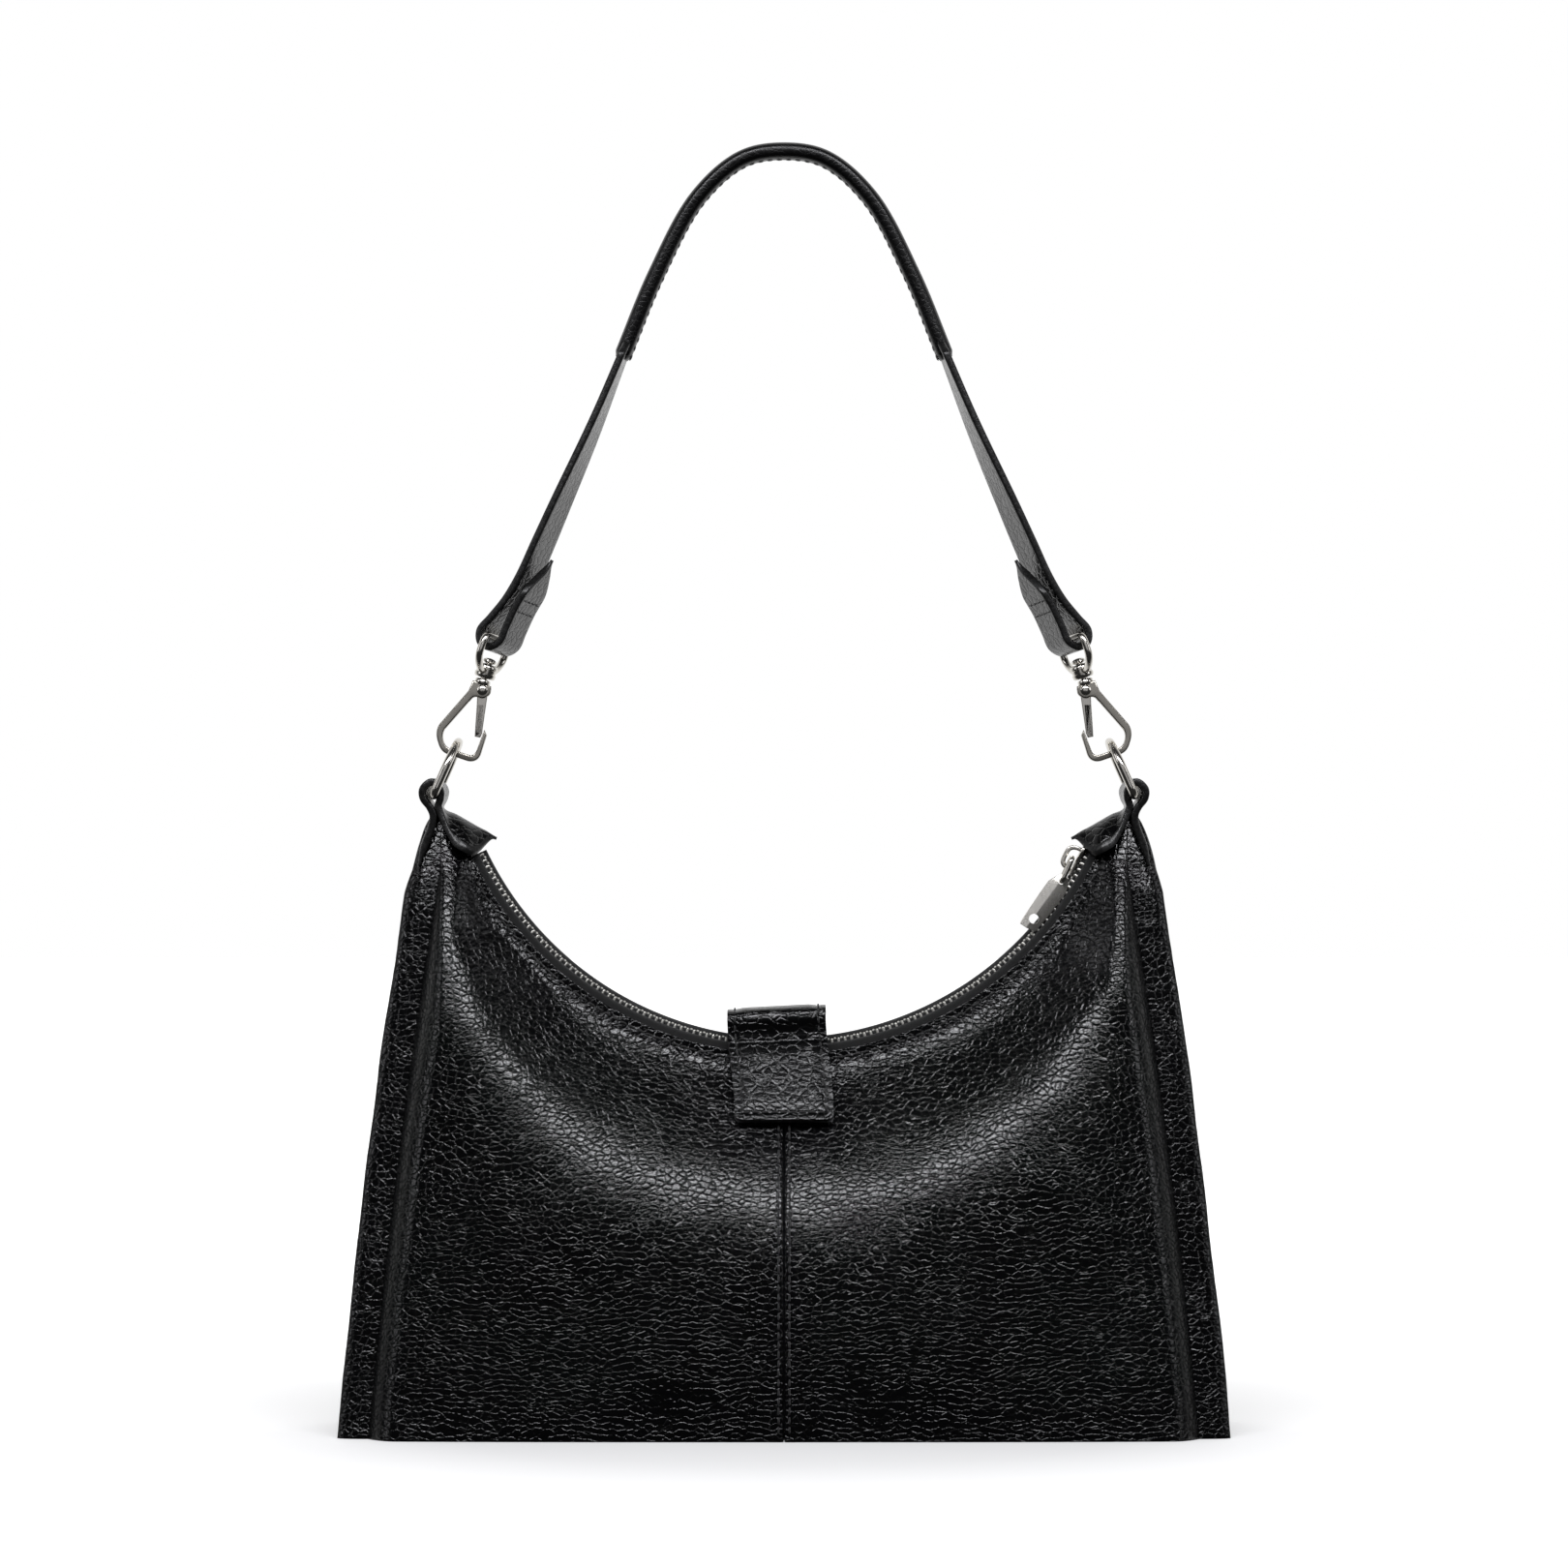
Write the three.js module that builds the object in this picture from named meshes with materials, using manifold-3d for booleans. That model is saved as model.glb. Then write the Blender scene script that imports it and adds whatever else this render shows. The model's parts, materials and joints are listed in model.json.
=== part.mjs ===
// Small leather hobo bag with a curved zip top, a closure tab and a clip-on shoulder strap.
// Millimetres. +Z is up, +X is to the right seen from the rear side, and the rear side faces -Y.
// The origin is the middle of the base, on the surface that the bag stands on.
import * as THREE from "three";
import { mergeVertices } from "three/addons/utils/BufferGeometryUtils.js";
import Module from "manifold-3d";

const wasm = await Module();
wasm.setup();

// ---------- driving dimensions ----------
const GAP = 0.3; // running and seam gap between neighbouring pieces
const LEATHER = 2.4; // panel leather with its backing
const STRAP_LEATHER = 2.6; // folded strap and tab leather

const BASE_HALF_WIDTH = 142; // seam of panel and gusset at the base
const SIDE_SLOPE = 0.0809; // how the side seam leans in with height
const SIDE_CURVE = 0.000198; // and how that lean grows
const WING = 9.5; // how far the gusset stands outside the seam
const CORNER_Z = 206; // top of the panels at the ring tabs
const BASE_DEPTH = 44; // half depth at the base, middle
const SIDE_BASE_DEPTH = 41; // half depth at the base, side seam
const MOUTH_DEPTH = 7; // half depth at the zip
const CORNER_DEPTH = 10; // half depth at the top corners
const EDGE_ROLL = 8; // how far the panel rolls back to the side seam
const SHOULDER_Z = 189; // where the top of the gusset starts to round in

const ZIP_CENTRE_Z = 250; // centre of the arc that the zip follows
const ZIP_RADIUS = 117;
const ZIP_END = rad(64.6); // half the angle that the zip spans
const SLIDER_REST = rad(62.5);
const MOUTH_RADIUS = ZIP_RADIUS + 2.5; // top edge of the panels
const TOOTH_HEIGHT = 3;
const TOOTH_ROW = 2.5; // width of one row of teeth
const ROW_GAP = 0.5; // half the gap between the rows, for the slider's post
const TAPE_CLOTH = 0.7;
const SLIDER_HALF_LENGTH = 5.4;
const SLIDER_PLATE = 1.2; // thickness of the slider's upper and lower plates
const SLIDER_POST_HALF = 0.2;
const BRIDGE_HALF_WIDTH = 1.2;
const BRIDGE_BAR_Z = 4.6; // link's bar inside the bridge, above the teeth's middle
const LINK_LENGTH = 8.8;
const LINK_WIRE = 0.9;
const PULL_Y = -4; // the pull hangs on the rear side of the teeth
const PULL_THICK = 1.6;
const PULL_LENGTH = 20;

const TAB_HALF_WIDTH = 17;
const TAB_BOTTOM_Z = 110;
const TAB_TOP_Z = 146.3;
const TAB_SIDE_Y = 10.4; // outer face of the arch over the zip
const TAB_HINGE_Z = 137; // where the flap begins
const SNAP_ROOM = 2.4; // how much further the flap stands off the front panel
const SNAP_Z = 117;

const RING_FOOT = new THREE.Vector2(121, 219.8); // ring's lower bar, in x and z
const RING_TOP = new THREE.Vector2(112.8, 238.2); // ring's upper bar, held by the hook
const RING_WIRE = 1.5;
const RING_HALF_WIDTH = 10.6;
const RING_CORNER = 3; // radius between the ring's straight bar and its arc
const RING_TAB_HALF_WIDTH = 7.4;
const LEAF_HALF_WIDTH = 9; // the ring tab's leaf, where it lies on the bag's corner

const HOOK_LEAN = rad(19); // the hooks lean in towards the strap
const HOOK_HALF_THICK = 2;
const HOOK_SLOT_HALF = 1.3; // the slot that the gate and its spring sit in
const SWIVEL_S = -1.1; // swivel axis, sideways from the ring's bar
const EYE_U = 38.4; // eye's upper bar, along the hook from the ring's bar
const EYE_WIRE = 1.3;
const EYE_TWIST = rad(18); // how far the eyes and strap ends are turned
const RIVET = new THREE.Vector2(-2, 19.8); // the gate's pivot, sideways and along the hook

const STRAP_HALF_WIDTH = 9.5;
const HANDLE_HALF_WIDTH = 5;
const HANDLE_THICK = 6;
const HANDLE_END_Z = 371;
const TWIST_START_Z = 392; // the strap's legs turn towards the eyes between these heights
const TWIST_END_Z = 292;

const leather = new THREE.MeshStandardMaterial({ color: 0x141415, roughness: 0.5, metalness: 0 });
const fabric = new THREE.MeshStandardMaterial({ color: 0x1b1b1c, roughness: 0.9, metalness: 0 });
const board = new THREE.MeshStandardMaterial({ color: 0x8a7a63, roughness: 0.9, metalness: 0 });
const nickel = new THREE.MeshStandardMaterial({ color: 0xcfc8ba, roughness: 0.22, metalness: 1 });

function rad(degrees) {
  return (degrees * Math.PI) / 180;
}

function lerp(a, b, t) {
  return a + (b - a) * t;
}

function smooth(t) {
  const c = Math.min(1, Math.max(0, t));
  return c * c * (3 - 2 * c);
}

function range(count) {
  return Array.from({ length: count }, (_, i) => i);
}

// ---------- closed bodies from rings and grids ----------

// A closed geometry from points and triangles, turned so that its faces point out.
function closedGeometry(points, triangles) {
  const volume = triangles.reduce((sum, [a, b, c]) => {
    const cross = new THREE.Vector3().crossVectors(points[b], points[c]);
    return sum + points[a].dot(cross);
  }, 0);
  const faces = volume < 0 ? triangles.map(([a, b, c]) => [a, c, b]) : triangles;
  const geometry = new THREE.BufferGeometry().setFromPoints(points);
  geometry.setIndex(faces.flat());
  return geometry;
}

function quad(a, b, c, d) {
  return [
    [a, b, c],
    [a, c, d],
  ];
}

// Joins rings of points in order. Open ends are closed by a fan on the first and last ring.
function loft(rings, isLoop = false) {
  const size = rings[0].length;
  const triangles = [];
  const spans = isLoop ? rings.length : rings.length - 1;
  for (let i = 0; i < spans; i++)
    for (let j = 0; j < size; j++) {
      const next = ((i + 1) % rings.length) * size;
      const k = (j + 1) % size;
      triangles.push(...quad(i * size + j, next + j, next + k, i * size + k));
    }
  if (!isLoop) {
    const last = (rings.length - 1) * size;
    for (let j = 1; j < size - 1; j++) {
      triangles.push([0, j, j + 1]);
      triangles.push([last, last + j + 1, last + j]);
    }
  }
  return closedGeometry(rings.flat(), triangles);
}

// The unit normal of the surface at (u, v), from its neighbours.
function surfaceNormal(surface, u, v) {
  const step = 0.004;
  const [u0, u1] = [Math.max(0, u - step), Math.min(1, u + step)];
  const [v0, v1] = [Math.max(0, v - step), Math.min(1, v + step)];
  const alongU = surface(u1, v).sub(surface(u0, v));
  const alongV = surface(u, v1).sub(surface(u, v0));
  return alongU.cross(alongV).normalize();
}

// A point of the surface, moved along its normal.
function offset(surface, u, v, distance) {
  return surface(u, v).addScaledVector(surfaceNormal(surface, u, v), distance);
}

// A closed sheet: the surface and its copy at the given distance, joined round the edge.
function sheet(surface, columns, rows, distance) {
  const rings = range(rows + 1).map((j) => {
    const across = range(columns + 1).map((i) => i / columns);
    const near = across.map((u) => surface(u, j / rows));
    const far = across.map((u) => offset(surface, u, j / rows, distance));
    far.forEach((point) => (point.z = Math.max(point.z, 0))); // nothing reaches below the ground
    return [...near, ...far.reverse()];
  });
  const size = rings[0].length;
  const triangles = [];
  for (let j = 0; j < rows; j++)
    for (let i = 0; i < size; i++) {
      const k = (i + 1) % size;
      triangles.push(...quad(j * size + i, (j + 1) * size + i, (j + 1) * size + k, j * size + k));
    }
  const capRow = (row, flip) => {
    for (let i = 0; i < columns; i++) {
      const corners = [i, i + 1, size - 2 - i, size - 1 - i].map((k) => row * size + k);
      triangles.push(...quad(...(flip ? corners.reverse() : corners)));
    }
  };
  capRow(0, false);
  capRow(rows, true);
  return closedGeometry(rings.flat(), triangles);
}

// A round wire along points that lie in a plane of constant x. isLoop joins its ends.
function wire(points, radius, sides, isLoop) {
  const count = points.length;
  const rings = points.map((point, i) => {
    const before = isLoop ? points[(i + count - 1) % count] : points[Math.max(0, i - 1)];
    const after = isLoop ? points[(i + 1) % count] : points[Math.min(count - 1, i + 1)];
    const along = after.clone().sub(before).normalize();
    const side = new THREE.Vector3(1, 0, 0);
    const other = along.clone().cross(side).normalize();
    return range(sides).map((k) => {
      const angle = (2 * Math.PI * (k + 0.5)) / sides;
      return point
        .clone()
        .addScaledVector(side, radius * Math.cos(angle))
        .addScaledVector(other, radius * Math.sin(angle));
    });
  });
  return loft(rings, isLoop);
}

// A flat strip that follows a path in the x-z plane, with its width along y.
// halfWidth, thick and droop are functions of the share of the path, 0 to 1.
function strip(path, steps, halfWidth, thick, droop = () => 0) {
  const curve = new THREE.CatmullRomCurve3(path.map(([x, z]) => new THREE.Vector3(x, 0, z)));
  const chamfer = 0.6;
  const rings = range(steps + 1).map((i) => {
    const t = i / steps;
    const centre = curve.getPointAt(t);
    const along = curve.getTangentAt(t);
    const out = new THREE.Vector3(along.z, 0, -along.x);
    const w = halfWidth(t);
    const h = thick(t) / 2;
    const across = [-1, -0.7, 0, 0.7, 1];
    const place = (y, n) =>
      centre
        .clone()
        .addScaledVector(out, n)
        .add(new THREE.Vector3(0, y * w, -droop(t) * y * y));
    const lower = across.map((y) => place(y, Math.abs(y) === 1 ? -h * chamfer : -h));
    const upper = across.map((y) => place(y, Math.abs(y) === 1 ? h * chamfer : h));
    return [...lower, ...upper.reverse()];
  });
  return loft(rings);
}

// ---------- solid joins and cuts ----------

function toSolid(geometry) {
  const bare = geometry.clone();
  bare.deleteAttribute("normal");
  bare.deleteAttribute("uv");
  const merged = mergeVertices(bare, 1e-4);
  const triVerts = new Uint32Array(merged.index.array);
  const vertProperties = new Float32Array(merged.attributes.position.array);
  return new wasm.Manifold(new wasm.Mesh({ numProp: 3, vertProperties, triVerts }));
}

function toGeometry(solid) {
  const { vertProperties, triVerts } = solid.getMesh();
  const geometry = new THREE.BufferGeometry();
  geometry.setAttribute("position", new THREE.BufferAttribute(vertProperties, 3));
  geometry.setIndex(new THREE.BufferAttribute(triVerts, 1));
  return geometry;
}

function join(geometries) {
  const solids = geometries.map(toSolid);
  return toGeometry(solids.reduce((sum, solid) => sum.add(solid)));
}

function cut(geometry, ...tools) {
  return toGeometry(tools.map(toSolid).reduce((rest, tool) => rest.subtract(tool), toSolid(geometry)));
}

function box(x0, x1, y0, y1, z0, z1) {
  const geometry = new THREE.BoxGeometry(x1 - x0, y1 - y0, z1 - z0);
  return geometry.translate((x0 + x1) / 2, (y0 + y1) / 2, (z0 + z1) / 2);
}

// A cylinder along y, at (x, z).
function pinAlongY(x, z, radius, y0, y1, sides = 16) {
  return new THREE.CylinderGeometry(radius, radius, y1 - y0, sides).translate(x, (y0 + y1) / 2, z);
}

// A turned piece about the z axis through (x, 0), from [radius, z] pairs.
function turned(profile, x = 0, sides = 16) {
  const points = profile.map(([r, z]) => new THREE.Vector2(r, z));
  return new THREE.LatheGeometry(points, sides).rotateX(Math.PI / 2).translate(x, 0, 0);
}

// An outline in the x-z plane, given thickness from y0 to y1.
function plate(outline, y0, y1) {
  const geometry = new THREE.ExtrudeGeometry(outline, {
    depth: y1 - y0,
    bevelEnabled: false,
    curveSegments: 8,
  });
  return geometry.rotateX(Math.PI / 2).translate(0, y1, 0);
}

// ---------- leather body ----------

function seamX(z) {
  return BASE_HALF_WIDTH - SIDE_SLOPE * z - SIDE_CURVE * z * z;
}

// Top edge of a half panel: the zip's arc, then a short level run to the corner.
function mouthPoint(u) {
  const arcShare = 0.9;
  if (u <= arcShare) {
    const angle = (u / arcShare) * ZIP_END;
    return [MOUTH_RADIUS * Math.sin(angle), ZIP_CENTRE_Z - MOUTH_RADIUS * Math.cos(angle)];
  }
  const [x, z] = mouthPoint(arcShare);
  const t = (u - arcShare) / (1 - arcShare);
  return [lerp(x, seamX(CORNER_Z), t), lerp(z, CORNER_Z, t)];
}

// Half depth of the body at a share of the width (0 middle, 1 seam) and of the height (0 base, 1 top).
function halfDepth(across, up) {
  const pillow = (1 + 0.2 * up) * (1 - up ** 3) ** 0.9;
  const middle = MOUTH_DEPTH + (BASE_DEPTH - MOUTH_DEPTH) * pillow;
  const side = CORNER_DEPTH + (SIDE_BASE_DEPTH - CORNER_DEPTH) * (1 - up ** 1.4);
  return lerp(middle, side, across ** 3);
}

// How far behind the panel's face the side seam lies.
function seamStep(up) {
  return lerp(EDGE_ROLL, EDGE_ROLL / 2, up);
}

// Outer face of the right half of the rear panel.
function rearPanel(u, v) {
  const [topX, topZ] = mouthPoint(u);
  const z = v * topZ;
  const across = lerp(u, topX / seamX(topZ), v);
  const x = GAP / 2 + across * (seamX(z) - GAP / 2);
  const rollStart = 0.93;
  const roll = Math.max(0, (across - rollStart) / (1 - rollStart));
  return new THREE.Vector3(x, -halfDepth(across, v) + seamStep(v) * roll * roll, z);
}

// Outer face of the right gusset, from the rear seam (u = 0) to the front seam (u = 1).
function gusset(u, v) {
  const z = v * CORNER_Z;
  const half = halfDepth(1, v) - seamStep(v) - 0.2;
  const shoulder = Math.max(0, (z - SHOULDER_Z) / (CORNER_Z - SHOULDER_Z));
  const reach = 0.8 + WING * Math.sqrt(1 - Math.min(0.97, shoulder ** 4));
  const corner = Math.min(3, half / 2);
  const side = u < 0.5 ? -1 : 1;
  const share = Math.abs(u - 0.5) * 2; // 0 in the middle of the side, 1 at a seam
  const wingShare = 0.45;
  const x0 = seamX(z) + 0.5;
  if (share > 1 - wingShare) {
    const t = (1 - share) / wingShare; // 0 at the seam, 1 at the corner
    const x = lerp(x0, x0 + reach, 1 - (1 - t) ** 1.5);
    return new THREE.Vector3(x, side * (half - corner * t * t), z);
  }
  const t = share / (1 - wingShare);
  return new THREE.Vector3(x0 + reach, side * (half - corner) * t, z);
}

function panelGeometry(side) {
  const surface = (u, v) => {
    const point = rearPanel(u, v);
    return new THREE.Vector3(point.x, side * -point.y, point.z);
  };
  return sheet(surface, 12, 10, side < 0 ? -LEATHER : LEATHER);
}

function gussetGeometry() {
  return sheet(gusset, 12, 8, -LEATHER);
}

// The base lies inside the panels and gussets, flat on the ground.
function baseOutline(inset) {
  const quarter = [
    [BASE_HALF_WIDTH + WING - 3, SIDE_BASE_DEPTH - 12],
    [BASE_HALF_WIDTH - 2, SIDE_BASE_DEPTH - 11.8],
    [BASE_HALF_WIDTH - 4.5, SIDE_BASE_DEPTH - 8],
    [BASE_HALF_WIDTH - 10, SIDE_BASE_DEPTH - 3.6],
    [BASE_HALF_WIDTH - 18, SIDE_BASE_DEPTH - 2.2],
  ].map(([x, y]) => [x - inset, y - inset]);
  const back = [...quarter].reverse();
  const corners = [
    ...quarter,
    ...back.map(([x, y]) => [-x, y]),
    ...quarter.map(([x, y]) => [-x, -y]),
    ...back.map(([x, y]) => [x, -y]),
  ];
  return new THREE.Shape(corners.map(([x, y]) => new THREE.Vector2(x, y)));
}

function slab(outline, z0, z1) {
  return new THREE.ExtrudeGeometry(outline, { depth: z1 - z0, bevelEnabled: false }).translate(0, 0, z0);
}

// The lining is one thin bag inside the panels, open along the zip.
function liningGeometry() {
  const inset = 4.6;
  const cloth = 0.8;
  const floorZ = 7;
  const columns = 6;
  const across = range(2 * columns + 1).map((i) => i / columns - 1);
  const ringAt = (v, depth) => {
    const wall = across.map((a) => {
      const u = Math.min(Math.abs(a), 0.955);
      const point = rearPanel(u, v);
      const normal = surfaceNormal(rearPanel, u, v);
      point.addScaledVector(normal, -depth);
      point.x = Math.sign(a) * Math.max(point.x, 0) * (a === 0 ? 0 : 1);
      point.z = Math.max(point.z, floorZ + depth - inset);
      return point;
    });
    const front = wall.map((p) => new THREE.Vector3(p.x, -p.y, p.z)).reverse();
    return [...wall, ...front];
  };
  const heights = [0.03, 0.2, 0.4, 0.6, 0.75, 0.86, 0.94];
  const outer = heights.map((v) => ringAt(v, inset));
  const inner = heights.map((v) => ringAt(v, inset + cloth)).reverse();
  const flat = (ring, share) => ring.map((p) => new THREE.Vector3(p.x * share, p.y * share, ring[0].z));
  const first = flat(outer[0], 0.5);
  const last = flat(inner[inner.length - 1], 0.5);
  return loft([first, ...outer, ...inner, last]);
}

// ---------- zip ----------

// A strip that follows the zip's arc. corners(t, i) gives [y, radius] pairs round its section.
function alongZip(corners, steps, from = -ZIP_END, to = ZIP_END) {
  const rings = range(steps + 1).map((i) => {
    const angle = lerp(from, to, i / steps);
    return corners(i / steps, i).map(
      ([y, r]) => new THREE.Vector3(r * Math.sin(angle), y, ZIP_CENTRE_Z - r * Math.cos(angle)),
    );
  });
  return loft(rings);
}

function teethGeometry(side) {
  const pitchSteps = 42;
  return alongZip((t, i) => {
    const half = (i % 2 ? 0.42 : 0.5) * TOOTH_HEIGHT;
    const [near, far] = [side * ROW_GAP, side * (ROW_GAP + TOOTH_ROW)];
    return [
      [near, ZIP_RADIUS - half],
      [far, ZIP_RADIUS - half],
      [far, ZIP_RADIUS + half],
      [near, ZIP_RADIUS + half],
    ];
  }, pitchSteps);
}

// The tape runs from the teeth down behind the panel's edge.
function tapeGeometry(side) {
  const line = [
    [4, ZIP_RADIUS + 0.3],
    [4.6, ZIP_RADIUS + 5.2],
    [6.8, ZIP_RADIUS + 9],
  ];
  const faces = [...line, ...line.map(([y, r]) => [y - TAPE_CLOTH, r + TAPE_CLOTH * 0.4]).reverse()];
  const end = ZIP_END - rad(2);
  return alongZip(() => faces.map(([y, r]) => [side * y, r]), 26, -end, end);
}

function stopGeometry(y0, y1, from, to) {
  const half = TOOTH_HEIGHT / 2;
  const corners = [
    [y0, ZIP_RADIUS - half],
    [y1, ZIP_RADIUS - half],
    [y1, ZIP_RADIUS + half],
    [y0, ZIP_RADIUS + half],
  ];
  return alongZip(() => corners, 1, from, to);
}

// The slider, its link and its pull are made at the lowest point of the arc, with z up from
// the teeth, and turned into place about the centre of the arc.

function sliderGeometry() {
  const top = TOOTH_HEIGHT / 2 + 0.4;
  const foot = top + 0.4; // the bridge's feet are sunk into the upper plate
  const half = SLIDER_HALF_LENGTH;
  const arch = new THREE.Shape();
  arch.moveTo(-4.6, foot);
  arch.bezierCurveTo(-4.6, 8.4, -2.6, 7.9, 0, 7.9);
  arch.bezierCurveTo(2.6, 7.9, 4.6, 8.4, 4.6, foot);
  arch.lineTo(3.1, foot);
  arch.bezierCurveTo(3.1, 6.6, 2, 6.3, 0, 6.3);
  arch.bezierCurveTo(-2, 6.3, -3.1, 6.6, -3.1, foot);
  return join([
    box(-half, half, -4.6, 4.6, top, top + SLIDER_PLATE),
    box(-half, half, -2.6, 2.6, -top - SLIDER_PLATE, -top),
    box(1.5, 5, -SLIDER_POST_HALF, SLIDER_POST_HALF, -top - 0.6, top + 0.6),
    plate(arch, -BRIDGE_HALF_WIDTH, BRIDGE_HALF_WIDTH),
  ]);
}

// An oblong wire loop, with its bars along y. It hangs from the bridge along -x.
function linkGeometry() {
  const [y0, y1] = [-6.1, 2.3];
  const corner = 1.6;
  const corners = [
    [0, y1, 0],
    [-LINK_LENGTH, y1, 1],
    [-LINK_LENGTH, y0, 2],
    [0, y0, 3],
  ];
  const centres = corners.map(([x, y]) => [x + (x ? corner : -corner), y > 0 ? y - corner : y + corner]);
  const points = centres.flatMap(([x, y], side) =>
    range(5).map((k) => {
      const angle = (Math.PI / 2) * (side + k / 4);
      return new THREE.Vector3(x + corner * Math.cos(angle), y + corner * Math.sin(angle), 0);
    }),
  );
  const up = new THREE.Vector3(0, 0, 1);
  const rings = points.map((point, i) => {
    const after = points[(i + 1) % points.length];
    const before = points[(i + points.length - 1) % points.length];
    const side = after.clone().sub(before).normalize().cross(up);
    return range(8).map((k) => {
      const angle = (Math.PI * k) / 4;
      const reach = side.clone().multiplyScalar(LINK_WIRE * Math.cos(angle));
      return point.clone().add(reach).addScaledVector(up, LINK_WIRE * Math.sin(angle));
    });
  });
  return loft(rings, true);
}

// A bar-shaped plate that hangs from the link along -x, with a round hole near its free end.
function pullGeometry() {
  const outline = new THREE.Shape();
  outline.moveTo(2.2, -1.6);
  outline.lineTo(2.2, 1.6);
  outline.lineTo(-2.4, 3.8);
  outline.lineTo(-PULL_LENGTH + 1, 3.2);
  outline.lineTo(-PULL_LENGTH, -3);
  outline.lineTo(-2.4, -3.8);
  for (const [x, radius] of [
    [0, LINK_WIRE + 0.3],
    [-PULL_LENGTH + 4, 1.6],
  ]) {
    const hole = new THREE.Path();
    hole.absarc(x, 0, radius, 0, 2 * Math.PI);
    outline.holes.push(hole);
  }
  return plate(outline, PULL_Y - PULL_THICK / 2, PULL_Y + PULL_THICK / 2);
}

// ---------- closure tab ----------

// The line of the tab's outer face on one side: up the panel, then over the zip.
function tabFacePoint(z) {
  const edgeShare = TAB_HALF_WIDTH / BASE_HALF_WIDTH;
  const [, mouthZ] = mouthPoint(edgeShare);
  const panelY = halfDepth(edgeShare, Math.min(1, z / mouthZ));
  return Math.max(panelY + 4.4, TAB_SIDE_Y);
}

function tabStrip(points) {
  const curve = new THREE.CatmullRomCurve3(
    points.map(([y, z]) => new THREE.Vector3(0, y, z)),
    false,
    "centripetal",
  );
  const steps = points.length * 2;
  const rings = range(steps + 1).map((i) => {
    const outer = curve.getPointAt(i / steps);
    const along = curve.getTangentAt(i / steps);
    const inward = new THREE.Vector3(0, along.z, -along.y);
    const inner = outer.clone().addScaledVector(inward, STRAP_LEATHER);
    const at = (point, x) => new THREE.Vector3(x, point.y, point.z);
    return [
      at(outer, -TAB_HALF_WIDTH),
      at(outer, TAB_HALF_WIDTH),
      at(inner, TAB_HALF_WIDTH),
      at(inner, -TAB_HALF_WIDTH),
    ];
  });
  return loft(rings);
}

function tabAnchorGeometry() {
  const heights = [TAB_BOTTOM_Z, 115, 120, 125, 130, TAB_HINGE_Z - GAP];
  return tabStrip(heights.map((z) => [-tabFacePoint(z), z]));
}

function tabFlapGeometry() {
  const bend = 3.4;
  const rear = [
    [-TAB_SIDE_Y, TAB_HINGE_Z],
    [-TAB_SIDE_Y, TAB_TOP_Z - bend],
    [-TAB_SIDE_Y + bend * 0.3, TAB_TOP_Z - bend * 0.3],
    [-TAB_SIDE_Y + bend, TAB_TOP_Z],
  ];
  const over = [[0, TAB_TOP_Z]];
  const front = rear.slice(1).map(([y, z]) => [-y, z]).reverse();
  const down = [TAB_HINGE_Z, 130, 125, 120, 115, TAB_BOTTOM_Z].map((z) => [tabFacePoint(z) + SNAP_ROOM, z]);
  return tabStrip([...rear, ...over, ...front, ...down]);
}

// The snap's two halves meet between the flap and the front panel.
function snapFrame() {
  const z0 = SNAP_Z - 1;
  const z1 = SNAP_Z + 1;
  const slope = Math.atan2(tabFacePoint(z0) - tabFacePoint(z1), z1 - z0);
  const faceY = tabFacePoint(SNAP_Z) + SNAP_ROOM;
  const frame = new THREE.Group();
  frame.position.set(0, faceY, SNAP_Z);
  frame.rotation.x = slope - Math.PI / 2;
  return frame;
}

// ---------- ring tabs and rings ----------

// The ring tab starts as a pointed leaf over the zip's end, loops over the ring's lower bar
// and comes down outside, above the gusset.
function ringTabGeometry() {
  const path = [
    [100.2, 207],
    [105, 210],
    [110, 212.9],
    [114.4, 215.6],
    [116.7, 218.6],
    [117.6, 222.2],
    [120.8, 224.4],
    [124.3, 222.8],
    [125.2, 219],
    [123.4, 215.4],
    [121.4, 212],
    [121.9, 208],
    [123.8, 204.4],
  ];
  const leafShare = 0.17;
  const neckShare = 0.4;
  const leaf = (t) => lerp(0.6, LEAF_HALF_WIDTH, smooth(t / leafShare));
  const neck = (t) => smooth((t - leafShare) / (neckShare - leafShare));
  const halfWidth = (t) => lerp(leaf(t), RING_TAB_HALF_WIDTH, neck(t));
  const droop = (t) => 6.5 * smooth(t / 0.14) * (1 - smooth((t - 0.24) / 0.14));
  return strip(path, 28, halfWidth, () => STRAP_LEATHER, droop);
}

// A D ring, made upright with its lower bar on the y axis.
function ringGeometry() {
  const height = RING_FOOT.distanceTo(RING_TOP);
  const arcCentre = height - RING_HALF_WIDTH;
  const arc = range(17).map((k) => {
    const angle = (Math.PI * k) / 16;
    return [RING_HALF_WIDTH * Math.cos(angle), arcCentre + RING_HALF_WIDTH * Math.sin(angle)];
  });
  const corner = (side) =>
    range(4).map((k) => {
      const angle = (Math.PI / 2) * ((k + 0.5) / 4);
      const y = RING_HALF_WIDTH - RING_CORNER + RING_CORNER * Math.cos(angle);
      return [side * y, RING_CORNER - RING_CORNER * Math.sin(angle)];
    });
  const points = [...arc, ...corner(-1), ...corner(1).reverse()];
  return wire(points.map(([y, z]) => new THREE.Vector3(0, y, z)), RING_WIRE, 8, true);
}

// ---------- swivel hooks ----------
// A hook's pieces are made with x sideways (away from the bag's middle) and z along the hook,
// from the ring's upper bar. hookFrame puts them in place.

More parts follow.
